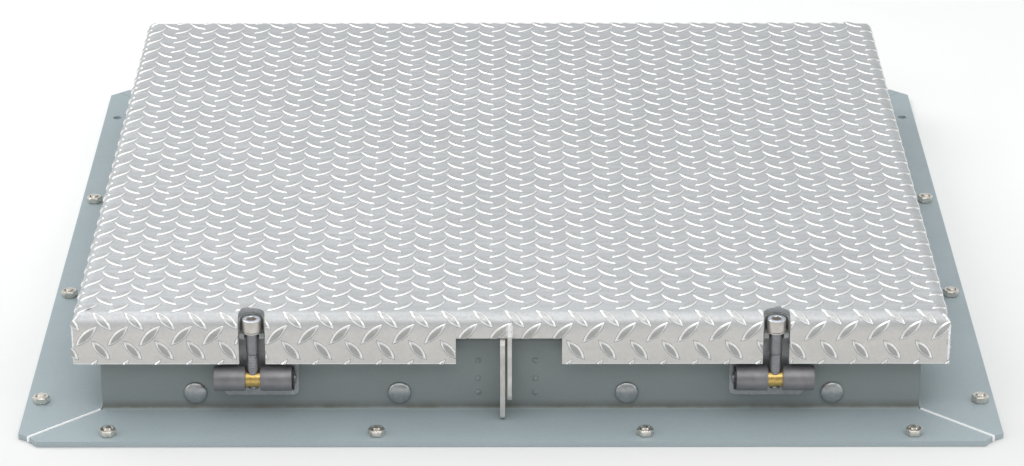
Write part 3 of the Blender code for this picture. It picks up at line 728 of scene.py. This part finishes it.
# ---------------------------------------------------------------- fasteners
def hex_nut(name, node, rng):
    """A chamfered hex nut with the rounded end of its stud standing proud."""
    low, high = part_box(node)
    cx, cy = (low.x + high.x) / 2, (low.y + high.y) / 2
    base = SHEET_T + GAP
    top = base + NUT_H
    flat_r = NUT_CORNER_R * math.cos(math.pi / 6)
    turn = rng.uniform(-0.16, 0.16)
    bm = bmesh.new()

    def ring(radius_at, z_at):
        made = []
        for i in range(NUT_SEGMENTS):
            a = 2 * math.pi * i / NUT_SEGMENTS
            r = radius_at(a)
            x, y = cx + r * math.cos(a + turn), cy + r * math.sin(a + turn)
            made.append(bm.verts.new((x, y, z_at(a))))
        return made

    def level_ring(radius, z):
        return ring(lambda a: radius, lambda a: z)

    def hex_r(a):
        inside = (a % (math.pi / 3)) - math.pi / 6
        return min(flat_r / math.cos(inside), NUT_CORNER_R * 0.995)

    def drop(a):
        return (hex_r(a) - flat_r * 0.985) * 0.62

    rings = [
        level_ring(NUT_BORE_R, base),
        ring(lambda a: hex_r(a) - 0.5 * MM, lambda a: base),
        ring(hex_r, lambda a: base + 0.3 * MM + drop(a) * 0.5),
        ring(hex_r, lambda a: top - 0.35 * MM - drop(a)),
        level_ring(flat_r * 0.965, top - 0.05 * MM),
        level_ring(flat_r * 0.93, top),
        level_ring(NUT_BORE_R + 0.9 * MM, top),
        level_ring(NUT_BORE_R + 0.35 * MM, top - 0.45 * MM),
        level_ring(NUT_BORE_R, top - 1.0 * MM),
    ]
    for a, b in zip(rings, rings[1:] + rings[:1]):
        for i in range(NUT_SEGMENTS):
            j = (i + 1) % NUT_SEGMENTS
            bm.faces.new((a[i], a[j], b[j], b[i]))
    nut = finish_mesh(name, bm, MAT["nickel"], 24)
    root = STUD_ROOT_R
    profile = [(0, GAP), (root + 0.1 * MM, GAP)]
    z = 1.0 * MM
    while z < top - 1.0 * MM:
        profile += [(STUD_R, z), (root, z + STUD_PITCH / 2)]
        z += STUD_PITCH
    end = high.z
    profile += [(root, z), (root - 0.05 * MM, end - 1.1 * MM), (root - 0.6 * MM, end - 0.3 * MM)]
    profile += [(root - 1.6 * MM, end - 0.05 * MM), (0, end)]
    stud = lathe(name + "_stud", (0, 0, 1), (cx, cy, 0), profile, 32, MAT["nickel"])
    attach(stud, "frame")
    stand_in(nut, "frame", "nickel", node)


def front_head(name, x, z, profile, segments, material, node):
    head = lathe(name, (0, -1, 0), (x, -COAMING_HALF_Y, z), profile, segments, MAT[material])
    stand_in(head, "frame", "grey", node)


def build_fasteners():
    rng = random.Random(11)
    for node in sorted(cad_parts):
        if node.startswith("flange_bolt"):
            hex_nut(node.replace("flange_bolt", "flange_nut"), node, rng)
    seat = 0.15 * MM
    rim = 1.0 * MM
    shank = CARRIAGE_SHANK_R
    profile = [(0, -CARRIAGE_SHANK_L), (shank, -CARRIAGE_SHANK_L), (shank, seat)]
    profile += [(DOME_R - 0.3 * MM, seat), (DOME_R, 0.45 * MM), (DOME_R, rim)]
    for c, s in arc(0, 0, 1.0, 6, 84, 13):
        profile.append((DOME_R * c, rim + DOME_H * s))
    profile.append((0, rim + DOME_H))
    for i, x in enumerate(CARRIAGE_X, 1):
        front_head(f"carriage_head_{i}", x, CARRIAGE_Z, profile, 48, "dome", f"carriage_bolt_{i}")
    reach = SHEET_T + 3 * MM + 2 * GAP
    seat = 0.2 * MM
    rim = 0.5 * MM
    shank = RIVET_SHANK_R
    profile = [(0, -reach), (shank - seat, -reach), (shank, -reach + seat), (shank, seat)]
    profile += [(RIVET_HEAD_R - 0.05 * MM, seat), (RIVET_HEAD_R, rim)]
    for angle in (20, 40, 60, 75):
        a = math.radians(angle)
        profile.append((RIVET_HEAD_R * math.cos(a), rim + RIVET_HEAD_H * math.sin(a)))
    profile.append((0, rim + RIVET_HEAD_H))
    places = [(x, z) for x in RIVET_X for z in RIVET_Z]
    for i, (x, z) in enumerate(places, 1):
        front_head(f"rivet_dome_{i}", x, z, profile, 24, "coated", f"hasp_rivet_{i}")


# ---------------------------------------------------------------- latches
def tube_profile(outer, inner, low, high, chamfer):
    return [
        (inner, low + chamfer * 0.5),
        (inner + chamfer * 0.5, low),
        (outer - chamfer, low),
        (outer - chamfer * 0.3, low + chamfer * 0.3),
        (outer, low + chamfer),
        (outer, high - chamfer),
        (outer - chamfer * 0.3, high - chamfer * 0.3),
        (outer - chamfer, high),
        (inner + chamfer * 0.5, high),
        (inner, high - chamfer * 0.5),
    ]


def across_tube(name, node, bore, chamfer, material, slot):
    """A tube on the latch's cross axis, in place of a CAD node of the frame."""
    low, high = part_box(node)
    profile = tube_profile((high.z - low.z) / 2, bore, low.x, high.x, chamfer)
    tube = lathe(name, (1, 0, 0), (0, LATCH_Y, LATCH_Z), profile, 64, MAT[material])
    stand_in(tube, "frame", slot, node)


def build_pin(side, sign, x):
    """The yellow cross pin, with its tip past the shoulder painted grey as painted shade."""
    node = f"latch_pin_{side}"
    low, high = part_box(node)
    r = (high.z - low.z) / 2
    c = PIN_EDGE
    tip_z = PIN_SHOULDER + PIN_TIP
    edge = 0.5 * MM
    profile = [(0, -PIN_OUTER_END), (r - c, -PIN_OUTER_END)]
    profile += [(r - c * 0.3, -PIN_OUTER_END + c * 0.3), (r, -PIN_OUTER_END + c)]
    profile += [(r, PIN_SHOULDER - c), (r - c, PIN_SHOULDER), (PIN_TIP_R, PIN_SHOULDER)]
    profile += [(PIN_TIP_R, tip_z - edge), (PIN_TIP_R - edge, tip_z), (0, tip_z)]
    name = f"latch_cross_pin_{side}"
    pin = lathe(name, (-sign, 0, 0), (x, LATCH_Y, LATCH_Z), profile, 64, MAT["zinc"])
    low_z, high_z = LATCH_Z - 2 * THROUGH, LATCH_Z + 2 * THROUGH
    cut(pin, hole("Z", x, LATCH_Y, PIN_BORE_R, low_z, high_z, 48))
    bevel(pin, 0.35 * MM, 2, 40)
    flatten_normals(dress(pin, MAT["zinc"], 50))
    # Painted shade: the tip past the shoulder takes the dark shank steel.
    paint(pin, "shank", lambda middle: abs(middle.x - x) > PIN_SHOULDER - 0.9 * MM)
    stand_in(pin, f"{side}_latch_pin", "zinc", node)


def build_latch(side, sign, x):
    refine(f"latch_base_{side}", "frame", "grey", MAT["plate"], 0.6 * MM, 3)
    for end in ("outer", "inner"):
        name = f"latch_tube_{side}_{end}"
        node = f"latch_barrel_{side}_{end}"
        across_tube(name, node, BARREL_BORE_R, 0.9 * MM, "steel", "grey")
    name = f"latch_collar_{side}"
    across_tube(name, f"latch_ring_{side}", RING_BORE_R, 0.35 * MM, "black", "dark")
    build_pin(side, sign, x)
    build_screw(side, x)
    refine(f"latch_pocket_{side}", "lid", "pocket", MAT["liner"], 0.35 * MM)


def build_screw(side, x):
    """Socket-head screw: rounded head rim, hex socket, plain shank and rolled thread."""
    low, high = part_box(f"latch_screw_{side}")
    top = high.z
    head_low = top - HEAD_H
    r = THREAD_ROOT_R
    edge = 0.4 * MM
    profile = [(0, low.z), (r - 0.6 * MM, low.z), (r, low.z + 0.7 * MM)]
    z = low.z + 1.1 * MM
    while z < THREAD_END_Z:
        profile += [(r, z), (THREAD_R, z + 0.7 * MM), (THREAD_R, z + 0.95 * MM)]
        z += THREAD_PITCH
    profile += [(r + 0.2 * MM, THREAD_END_Z + 0.6 * MM), (SHANK_R, THREAD_END_Z + 1.4 * MM)]
    profile += [(SHANK_R, head_low - edge), (SHANK_R + 0.3 * MM, head_low)]
    profile += [(HEAD_R - edge, head_low), (HEAD_R, head_low + edge)]
    profile += [(HEAD_R, top - 1.3 * MM), (HEAD_R - 0.25 * MM, top - 0.6 * MM)]
    profile += [(HEAD_R - 0.75 * MM, top - 0.15 * MM), (HEAD_R - 1.3 * MM, top), (0, top)]
    centre = (x, LATCH_Y, 0)
    screw = lathe(f"latch_bolt_{side}", (0, 0, 1), centre, profile, 48, MAT["screw"])
    hexagon = circle(x, LATCH_Y, SOCKET_R, 6, 0.25)
    socket = tool(hexagon, "Z", top - SOCKET_DEPTH, top + THROUGH)
    profile = [(0, top - 1.1 * MM), (SOCKET_R - 0.5 * MM, top - 0.6 * MM)]
    profile += [(SOCKET_R + 0.2 * MM, top + 0.1 * MM), (0, top + 0.2 * MM)]
    cut(screw, socket, lathe("tool", (0, 0, 1), centre, profile, 48, MAT["steel"]))
    dress(screw, MAT["screw"], 28)
    paint(screw, "bright", lambda middle: middle.z > top - 0.9 * MM)
    paint(screw, "shank", lambda middle: middle.z < head_low - 0.1 * MM)
    stand_in(screw, f"{side}_latch_screw", "screw", f"latch_screw_{side}")
    node = f"latch_washer_{side}"
    low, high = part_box(node)
    profile = tube_profile((high.x - low.x) / 2, WASHER_BORE_R, low.z, high.z, 0.3 * MM)
    washer = lathe(f"latch_disc_{side}", (0, 0, 1), centre, profile, 64, MAT["screw"])
    stand_in(washer, f"{side}_latch_washer", "screw", node)


# ---------------------------------------------------------------- lid
def lid_ring(inset, radius):
    """Points of the lid's outline, inset and with rounded corners, going round once."""
    points = []
    x1, y0, y1 = LID_HALF_X - inset, LID_FRONT_Y + inset, LID_REAR_Y - inset
    for a, b, begin in ((x1, y0, 270), (x1, y1, 0), (-x1, y1, 90), (-x1, y0, 180)):
        ca = a - radius if a > 0 else a + radius
        cb = b + radius if b == y0 else b - radius
        points.extend(arc(ca, cb, radius, begin, begin + 90, 5))
    return points


def opening_tools(extra):
    """Tools for the two screw slots and the hasp notch, wider than they are by extra."""
    tools = []
    r = SLOT_R + extra
    for _, _, x in LATCH_SIDES:
        outline = arc(x, LATCH_Y, r, 0, 180, 32)
        outline += [(x - r, OPENING_FRONT_Y), (x + r, OPENING_FRONT_Y)]
        tools.append(tool(outline, "Z", OPENING_LOW_Z, OPENING_HIGH_Z))
    low = (NOTCH_LEFT_X - extra, OPENING_FRONT_Y, OPENING_LOW_Z)
    high = (NOTCH_RIGHT_X + extra, NOTCH_REAR_Y, NOTCH_TOP_Z + extra)
    tools.append(box_tool(low, high))
    return tools


def build_lid_shell():
    bend = arc(0, 0, 1.0, 0, 90, BEND_STEPS)
    low = SKIRT_BOTTOM_Z
    straight_z = BEND_Z - EASE
    r = LID_BEND_R
    outer = [(r * (1 - c), BEND_Z + r * s) for c, s in bend]
    outer.append((r + EASE, LID_TOP_Z))
    r -= LID_T
    inner = [(LID_T + r * (1 - c), BEND_Z + r * s) for c, s in bend]
    inner.append((LID_BEND_R + EASE, LID_TOP_Z - LID_T))
    small, large = 0.15 * MM, 0.5 * MM
    edge = [(0, straight_z), (0, low + large), (small, low + small), (large, low)]
    edge += [(LID_T - large, low), (LID_T - small, low + small), (LID_T, low + large)]
    edge.append((LID_T, straight_z))
    profile = list(reversed(outer)) + edge + inner
    bm = bmesh.new()
    rings = []
    for i, (d, z) in enumerate(profile):
        inside = i >= len(outer) + 5
        radius = LID_INNER_CORNER_R if inside else LID_CORNER_R
        rings.append([bm.verts.new((a, b, z)) for a, b in lid_ring(d, radius)])
    join_rings(bm, rings)
    lid = finish_mesh("tread_shell", bm, MAT["sheet"])
    cut(lid, *opening_tools(0.0))
    bevel(lid, 0.45 * MM, 2, 40)
    flatten_normals(dress(lid, MAT["sheet"], 50))
    stand_in(lid, "lid", "tread", "lid_plate")


def fold(across, along, height, region):
    """A point of the flat pattern on the folded sheet.

    For the front and rear, along is the distance past the bend's start; for the sides, across is.
    """
    def folded(distance):
        if distance <= 0:
            return distance, 0.0, 0.0
        angle = min(distance, BEND_ARC) / LID_BEND_R
        out = LID_BEND_R * math.sin(angle)
        down = LID_BEND_R * (1 - math.cos(angle)) + max(0.0, distance - BEND_ARC)
        return out, down, angle

    out, down, angle = folded(along)
    reach = out + height * math.sin(angle)
    z = LID_TOP_Z - down + height * math.cos(angle)
    if region == "front":
        return Vector((across, LID_FRONT_Y + LID_BEND_R - reach, z))
    if region == "rear":
        return Vector((across, LID_REAR_Y - LID_BEND_R + reach, z))
    side = 1 if region == "right" else -1
    return Vector((side * (LID_HALF_X - LID_BEND_R + reach), across, z))


# Each ring of a lug: how far it is inset, its height over the sheet, and its painted tone: -1 painted
# shade at the foot, about 1 the flank's wear and painted highlight, 0 the crown.
LUG_RINGS = (
    (-0.4 * MM, -0.2 * MM, -1.0),
    (-0.2 * MM, 0.05 * MM, -1.0),
    (0.1 * MM, 0.3 * MM, 0.9),
    (1.05 * MM, 1.2 * MM, 1.0),
    (1.4 * MM, 1.32 * MM, 0.0),
)
SKIRT_RINGS = (
    (-0.6 * MM, -0.2 * MM, -1.0),
    (-0.35 * MM, 0.05 * MM, -1.0),
    (0.1 * MM, 0.35 * MM, 0.9),
    (1.45 * MM, 1.4 * MM, 1.0),
    (1.75 * MM, 1.45 * MM, 0.0),
)
LUG_STEPS = 6


def lens(length, width):
    """A pointed lozenge with arcs for sides."""
    a, b = length / 2, width / 2
    radius = (a * a + b * b) / (2 * b)
    half = math.asin(a / radius)
    points = []
    for s in (1, -1):
        for i in range(LUG_STEPS):
            angle = -half + 2 * half * i / LUG_STEPS
            u = radius * math.sin(angle) * -s
            v = s * (radius * math.cos(angle) - (radius - b))
            points.append((u, v))
    return points


def add_lug(bm, layer, centre, lean, length, width, region, shape):
    """One lug on the folded sheet. centre is (across, along) and lean its angle in the flat pattern."""
    ca, sa = math.cos(lean), math.sin(lean)
    ratio = length / width
    made = []
    rings = []
    for inset, height, rim in shape:
        ring = []
        for u, v in lens(length - 2 * inset * min(ratio, 2.2), width - 2 * inset):
            across = centre[0] + u * ca - v * sa
            along = centre[1] + u * sa + v * ca
            vert = bm.verts.new(fold(across, along, height, region))
            vert[layer] = rim
            ring.append(vert)
        rings.append(ring)
        made += ring
    crown = bm.verts.new(fold(centre[0], centre[1], shape[-1][1] + 0.06 * MM, region))
    crown[layer] = 0.0
    root = bm.verts.new(fold(centre[0], centre[1], shape[0][1], region))
    made += [crown, root]
    count = len(rings[0])
    for a, b in zip(rings, rings[1:]):
        for i in range(count):
            j = (i + 1) % count
            bm.faces.new((a[i], a[j], b[j], b[i]))
    for i in range(count):
        j = (i + 1) % count
        bm.faces.new((crown, rings[-1][i], rings[-1][j]))
        bm.faces.new((root, rings[0][j], rings[0][i]))
    return made


def trim(bm, made, point, normal):
    """Cuts a lug's island by a plane, drops the side the normal points to, and closes the cut."""
    verts = {v for v in made if v.is_valid}
    edges = {e for v in verts for e in v.link_edges}
    faces = {f for v in verts for f in v.link_faces}
    if all((v.co - point).dot(normal) <= 0 for v in verts):
        return made
    result = bmesh.ops.bisect_plane(
        bm,
        geom=list(verts) + list(edges) + list(faces),
        dist=1e-7,
        plane_co=point,
        plane_no=normal,
        clear_outer=True,
    )
    rim = [g for g in result["geom_cut"] if isinstance(g, bmesh.types.BMEdge)]
    if len(rim) > 2:
        bmesh.ops.holes_fill(bm, edges=rim, sides=0)
    alive = [g for g in result["geom"] + result["geom_cut"] if g.is_valid]
    return [g for g in alive if isinstance(g, bmesh.types.BMVert)]


def lattice(low, high, first):
    """Places first + k * PITCH between low and high."""
    k = math.ceil((low - first) / PITCH)
    while first + k * PITCH <= high:
        yield first + k * PITCH
        k += 1


CORNER_REACH = 19 * MM  # a lug nearer than this to a corner is trimmed along the fold
OPENING_REACH = 15 * MM
EDGE_REACH = 8 * MM
# How far before the bends the lugs start to follow the sides' and the rear's fold.
SIDE_FIELD = 11 * MM
REAR_FIELD = 40 * MM


def lug_sheet(field, key):
    """The mesh that gathers one piece's lugs, with its layer for the rims."""
    if key not in field:
        bm = bmesh.new()
        field[key] = (bm, bm.verts.layers.float.new("rim"))
    return field[key]


def near_opening(x, y, z):
    """Whether a lug's middle is close enough to a slot or the notch to be cut by it."""
    for _, _, sx in LATCH_SIDES:
        if abs(x - sx) < SLOT_R + OPENING_REACH and y < LATCH_Y + SLOT_R + OPENING_REACH:
            return True
    beside = NOTCH_LEFT_X - OPENING_REACH < x < NOTCH_RIGHT_X + OPENING_REACH
    return beside and y < LID_FRONT_Y + 3 * MM and z < NOTCH_TOP_Z + OPENING_REACH


def place_lug(field, rng, across, along, rises, region, length=LUG_LEN, width=LUG_W, lean=45):
    """Adds one lug and trims it at the lid's corners and lower edge.

    rises tells whether it leans to +X going rearward, seen from above.
    """
    turned = rises == (region in ("rear", "right"))
    lean = math.radians(lean if turned else -lean) + rng.uniform(-0.012, 0.012)
    size = 1 + rng.uniform(-0.012, 0.012)
    middle = fold(across, along, 0.0, region)
    opening = region == "front" and near_opening(middle.x, middle.y, middle.z)
    bm, layer = lug_sheet(field, region + ("_open" if opening else ""))
    shape = SKIRT_RINGS if length != LUG_LEN else LUG_RINGS
    made = add_lug(bm, layer, (across, along), lean, length * size, width * size, region, shape)
    made = trim(bm, made, Vector((0, 0, SKIRT_BOTTOM_Z + 0.5 * MM)), Vector((0, 0, -1)))
    sx = 1 if middle.x > 0 else -1
    sy = 1 if middle.y > 0 else -1
    edge_y = LID_REAR_Y if sy > 0 else LID_FRONT_Y
    inset_x = LID_HALF_X - abs(middle.x)
    inset_y = abs(edge_y - middle.y)
    if inset_x > CORNER_REACH or inset_y > CORNER_REACH:
        return
    tip = Vector((sx * LID_HALF_X, edge_y, 0))
    if region in ("front", "rear"):
        trim(bm, made, tip, Vector((sx, -sy, 0)).normalized())
    else:
        trim(bm, made, tip, Vector((-sx, sy, 0)).normalized())


def drift(x):
    """How far the rolled rows run off square toward the lid's left side."""
    return -4.5 * MM * (max(0.0, -x) / 0.33) ** 1.2


def build_lugs():
    field = {}
    rng = random.Random(3)
    front_start = LID_FRONT_Y + LID_BEND_R
    rear_start = LID_REAR_Y - LID_BEND_R
    side_start = LID_HALF_X - LID_BEND_R
    side_reach = side_start + BEND_ARC + (BEND_Z - SKIRT_BOTTOM_Z) + 10 * MM
    rear_reach = rear_start + BEND_ARC + (BEND_Z - SKIRT_BOTTOM_Z) + 10 * MM
    for rises, x0, t0 in ((True, LUG_RISE_X, LUG_RISE_T), (False, LUG_FALL_X, LUG_FALL_T)):
        first_y = front_start - t0
        for x in lattice(-side_reach, side_reach, x0):
            for row_y in lattice(front_start - 1 * MM, rear_reach, first_y):
                y = row_y + drift(x)
                inside_x = abs(x) <= side_start - SIDE_FIELD
                if inside_x and y <= rear_start - REAR_FIELD:
                    place_lug(field, rng, x, front_start - y, rises, "front")
                elif inside_x:
                    place_lug(field, rng, x, y - rear_start, rises, "rear")
                elif y <= LID_REAR_Y + EDGE_REACH:
                    side = "right" if x > 0 else "left"
                    place_lug(field, rng, y, abs(x) - side_start, rises, side)
    wide = LID_HALF_X + EDGE_REACH
    for first_x, rows in SKIRT_ROWS:
        for x in lattice(-wide, wide, first_x):
            for shift, down, slope, rises, *shape in rows:
                place_lug(field, rng, x + shift, down - x * slope, rises, "front", *shape)
    for key in sorted(field):
        piece = finish_mesh("tread_lugs_" + key, field[key][0], MAT["lug"], 50)
        if key.endswith("_open"):
            cut(piece, *opening_tools(0.3 * MM))
            dress(piece, MAT["lug"], 50)
        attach(piece, "lid")


BEAD_SIDES = 8
WELD_STEPS = 25
WELD_BEND_SHARE = 0.3
LUG_WELD_R = 1.15 * MM
# Each corner's weld: name, side in X and Y, radius and lumpiness.
CORNER_WELDS = (
    ("front_left", -1, -1, 1.2 * MM, 0.2),
    ("front_right", 1, -1, 1.9 * MM, 0.55),
    ("rear_left", -1, 1, 1.2 * MM, 0.35),
    ("rear_right", 1, 1, 1.2 * MM, 0.35),
)


def bead(name, path, radius, lump, rng):
    """A weld bead along a path of points, lumpy at its start and thinner and smoother on."""
    bm = bmesh.new()
    rings = []
    count = len(path)
    for i, place in enumerate(path):
        ahead = path[min(i + 1, count - 1)] - path[max(i - 1, 0)]
        ahead.normalize()
        side = ahead.cross(Vector((0.31, 0.23, 0.92)))
        if side.length < 0.1:
            side = ahead.cross(Vector((1, 0, 0)))
        side.normalize()
        up = ahead.cross(side)
        ends = min(1.0, 0.35 + min(i, count - 1 - i) * 0.4)
        swell = 1.0 - 0.75 * min(1.0, i / (0.45 * count))
        ring = []
        for c, s in circle(0, 0, 1.0, BEAD_SIDES):
            rough = lump * swell * (0.6 * math.sin(i * 1.9) + rng.uniform(-0.6, 0.6))
            r = radius * ends * (0.6 + 0.4 * swell) * (1 + rough)
            ring.append(bm.verts.new(place + (side * c + up * s) * r))
        rings.append(ring)
    join_rings(bm, rings)
    piece = finish_mesh(name, bm, MAT["weld"], 70)
    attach(piece, "lid")


def build_welds():
    """Beads down the lid's corners, and along the hasp lug's root."""
    rng = random.Random(8)
    for name, sx, sy, radius, lump in CORNER_WELDS:
        y_edge = LID_FRONT_Y if sy < 0 else LID_REAR_Y
        path = []
        for i in range(WELD_STEPS + 1):
            f = i / WELD_STEPS
            if f < WELD_BEND_SHARE:
                a = math.radians(28 + 62 * f / WELD_BEND_SHARE)
                inset = LID_BEND_R * (1 - math.sin(a))
                z = BEND_Z + LID_BEND_R * math.cos(a)
            else:
                inset = 0.0
                down = (f - WELD_BEND_SHARE) / (1 - WELD_BEND_SHARE)
                z = BEND_Z - down * (BEND_Z - SKIRT_BOTTOM_Z - 3.5 * MM)
            d = inset + LID_CORNER_R * 0.29 - 0.15 * MM
            path.append(Vector((sx * (LID_HALF_X - d), y_edge - sy * d, z)))
        bead(f"corner_weld_{name}", path, radius, lump, rng)
    low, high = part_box("hasp_lid_lug")
    for name, x, sign in (("left", low.x, -1), ("right", high.x, 1)):
        path = []
        for i in range(13):
            z = NOTCH_TOP_Z + 1.5 * MM + i * 1.15 * MM
            path.append(Vector((x + sign * 0.5 * MM, LID_FRONT_Y - 0.5 * MM, z)))
        bead(f"lug_weld_{name}", path, LUG_WELD_R, 0.25, rng)


def build_small_parts():
    refine("hasp_frame_lug", "frame", "grey", MAT["lug_steel"], 0.5 * MM)
    lug = refine("hasp_lid_lug", "lid", "grey", MAT["lug_steel"], 0.6 * MM)
    paint(lug, "weld", lambda middle: middle.z > NOTCH_TOP_Z + 3 * MM)
    refine("hasp_backing_plate", "frame", "grey", MAT["plate"], 0.4 * MM)
    refine("stay_catch", "frame", "grey", MAT["plate"], 0.4 * MM)
    refine("stay_bracket", "lid", "grey", MAT["plate"], 0.3 * MM)
    refine("stay_rod", "stay", "nickel", MAT["nickel"], 0.4 * MM)
    refine("gasket_channel", "lid", "tread", MAT["sheet"], 0.3 * MM)
    refine("gasket", "lid", "rubber", MAT["rubber"], 1.0 * MM, 3)
    for side in ("left", "right"):
        refine(f"lid_stiffener_{side}", "lid", "tread", MAT["sheet"], 0.5 * MM)
        refine(f"hinge_frame_leaf_{side}", "frame", "grey", MAT["hinge"], 0.5 * MM)
        refine(f"hinge_lid_leaf_{side}", "lid", "grey", MAT["hinge"], 0.5 * MM)
        node = f"hinge_pin_{side}"
        low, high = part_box(node)
        r = (high.z - low.z) / 2
        c = 0.6 * MM
        profile = [(0, low.x), (r - c, low.x), (r, low.x + c)]
        profile += [(r, high.x - c), (r - c, high.x), (0, high.x)]
        centre = (0, (low.y + high.y) / 2, (low.z + high.z) / 2)
        pin = lathe(f"hinge_rod_{side}", (1, 0, 0), centre, profile, 40, MAT["nickel"])
        stand_in(pin, "frame", "nickel", node)


# ---------------------------------------------------------------- stage
def build_stage():
    bm = bmesh.new()
    bmesh.ops.create_grid(bm, x_segments=8, y_segments=8, size=14.0)
    bmesh.ops.translate(bm, vec=(0, 4.0, -0.3 * MM), verts=bm.verts)
    floor = finish_mesh("floor", bm, MAT["floor"])


def area_light(name, place, size, power, aim=(0, 0, 0)):
    data = bpy.data.lights.new(name, "AREA")
    data.shape = "RECTANGLE"
    data.size, data.size_y = size
    data.energy = power
    light = bpy.data.objects.new(name, data)
    light.location = place
    light.rotation_euler = (Vector(aim) - Vector(place)).to_track_quat("-Z", "Y").to_euler()
    light.visible_camera = False
    bpy.context.collection.objects.link(light)


def build_light():
    """A pale studio, brighter behind the hatch than in front of it, and five soft lights."""
    world = bpy.data.worlds.new("studio")
    bpy.context.scene.world = world
    world.use_nodes = True
    tree = world.node_tree
    back = tree.nodes["Background"]
    coord = tree.nodes.new("ShaderNodeTexCoord")
    split = tree.nodes.new("ShaderNodeSeparateXYZ")
    tree.links.new(coord.outputs["Generated"], split.inputs[0])
    ramp = tree.nodes.new("ShaderNodeMapRange")
    ramp.interpolation_type = "SMOOTHSTEP"
    set_range(ramp, -0.3, 0.9, 0.36, 0.73)
    tree.links.new(split.outputs["Y"], ramp.inputs["Value"])
    tree.links.new(ramp.outputs["Result"], back.inputs["Strength"])
    back.inputs["Color"].default_value = (0.955, 0.985, 1.0, 1.0)
    area_light("overhead", (0.3, -0.1, 3.2), (5.0, 3.8), 45.0)
    area_light("key", (-1.9, 1.1, 2.5), (1.9, 1.9), 22.0)
    area_light("front", (0.0, -2.4, 2.5), (3.4, 1.5), 24.0, (0, -0.43, 0.08))
    for name, sign in (("side_left", -1), ("side_right", 1)):
        area_light(name, (sign * 2.6, -1.5, 1.45), (1.7, 1.7), 15.0)


CAMERA_PLACE = (-0.0055, -3.657, 1.626)
CAMERA_LENS = 125.37
CAMERA_DOWN = 23.68
CAMERA_TURN = -0.118


def build_camera():
    data = bpy.data.cameras.new("camera")
    data.lens = CAMERA_LENS
    data.sensor_width = 36.0
    camera = bpy.data.objects.new("camera", data)
    camera.location = CAMERA_PLACE
    camera.rotation_euler = (math.radians(90 - CAMERA_DOWN), 0.0, math.radians(CAMERA_TURN))
    bpy.context.collection.objects.link(camera)
    bpy.context.scene.camera = camera
    bpy.context.scene.view_settings.view_transform = "Standard"


build_frame()
build_seams()
build_fasteners()
for latch_side, latch_sign, latch_x in LATCH_SIDES:
    build_latch(latch_side, latch_sign, latch_x)
build_lid_shell()
build_lugs()
build_welds()
build_small_parts()
build_stage()
build_light()
build_camera()
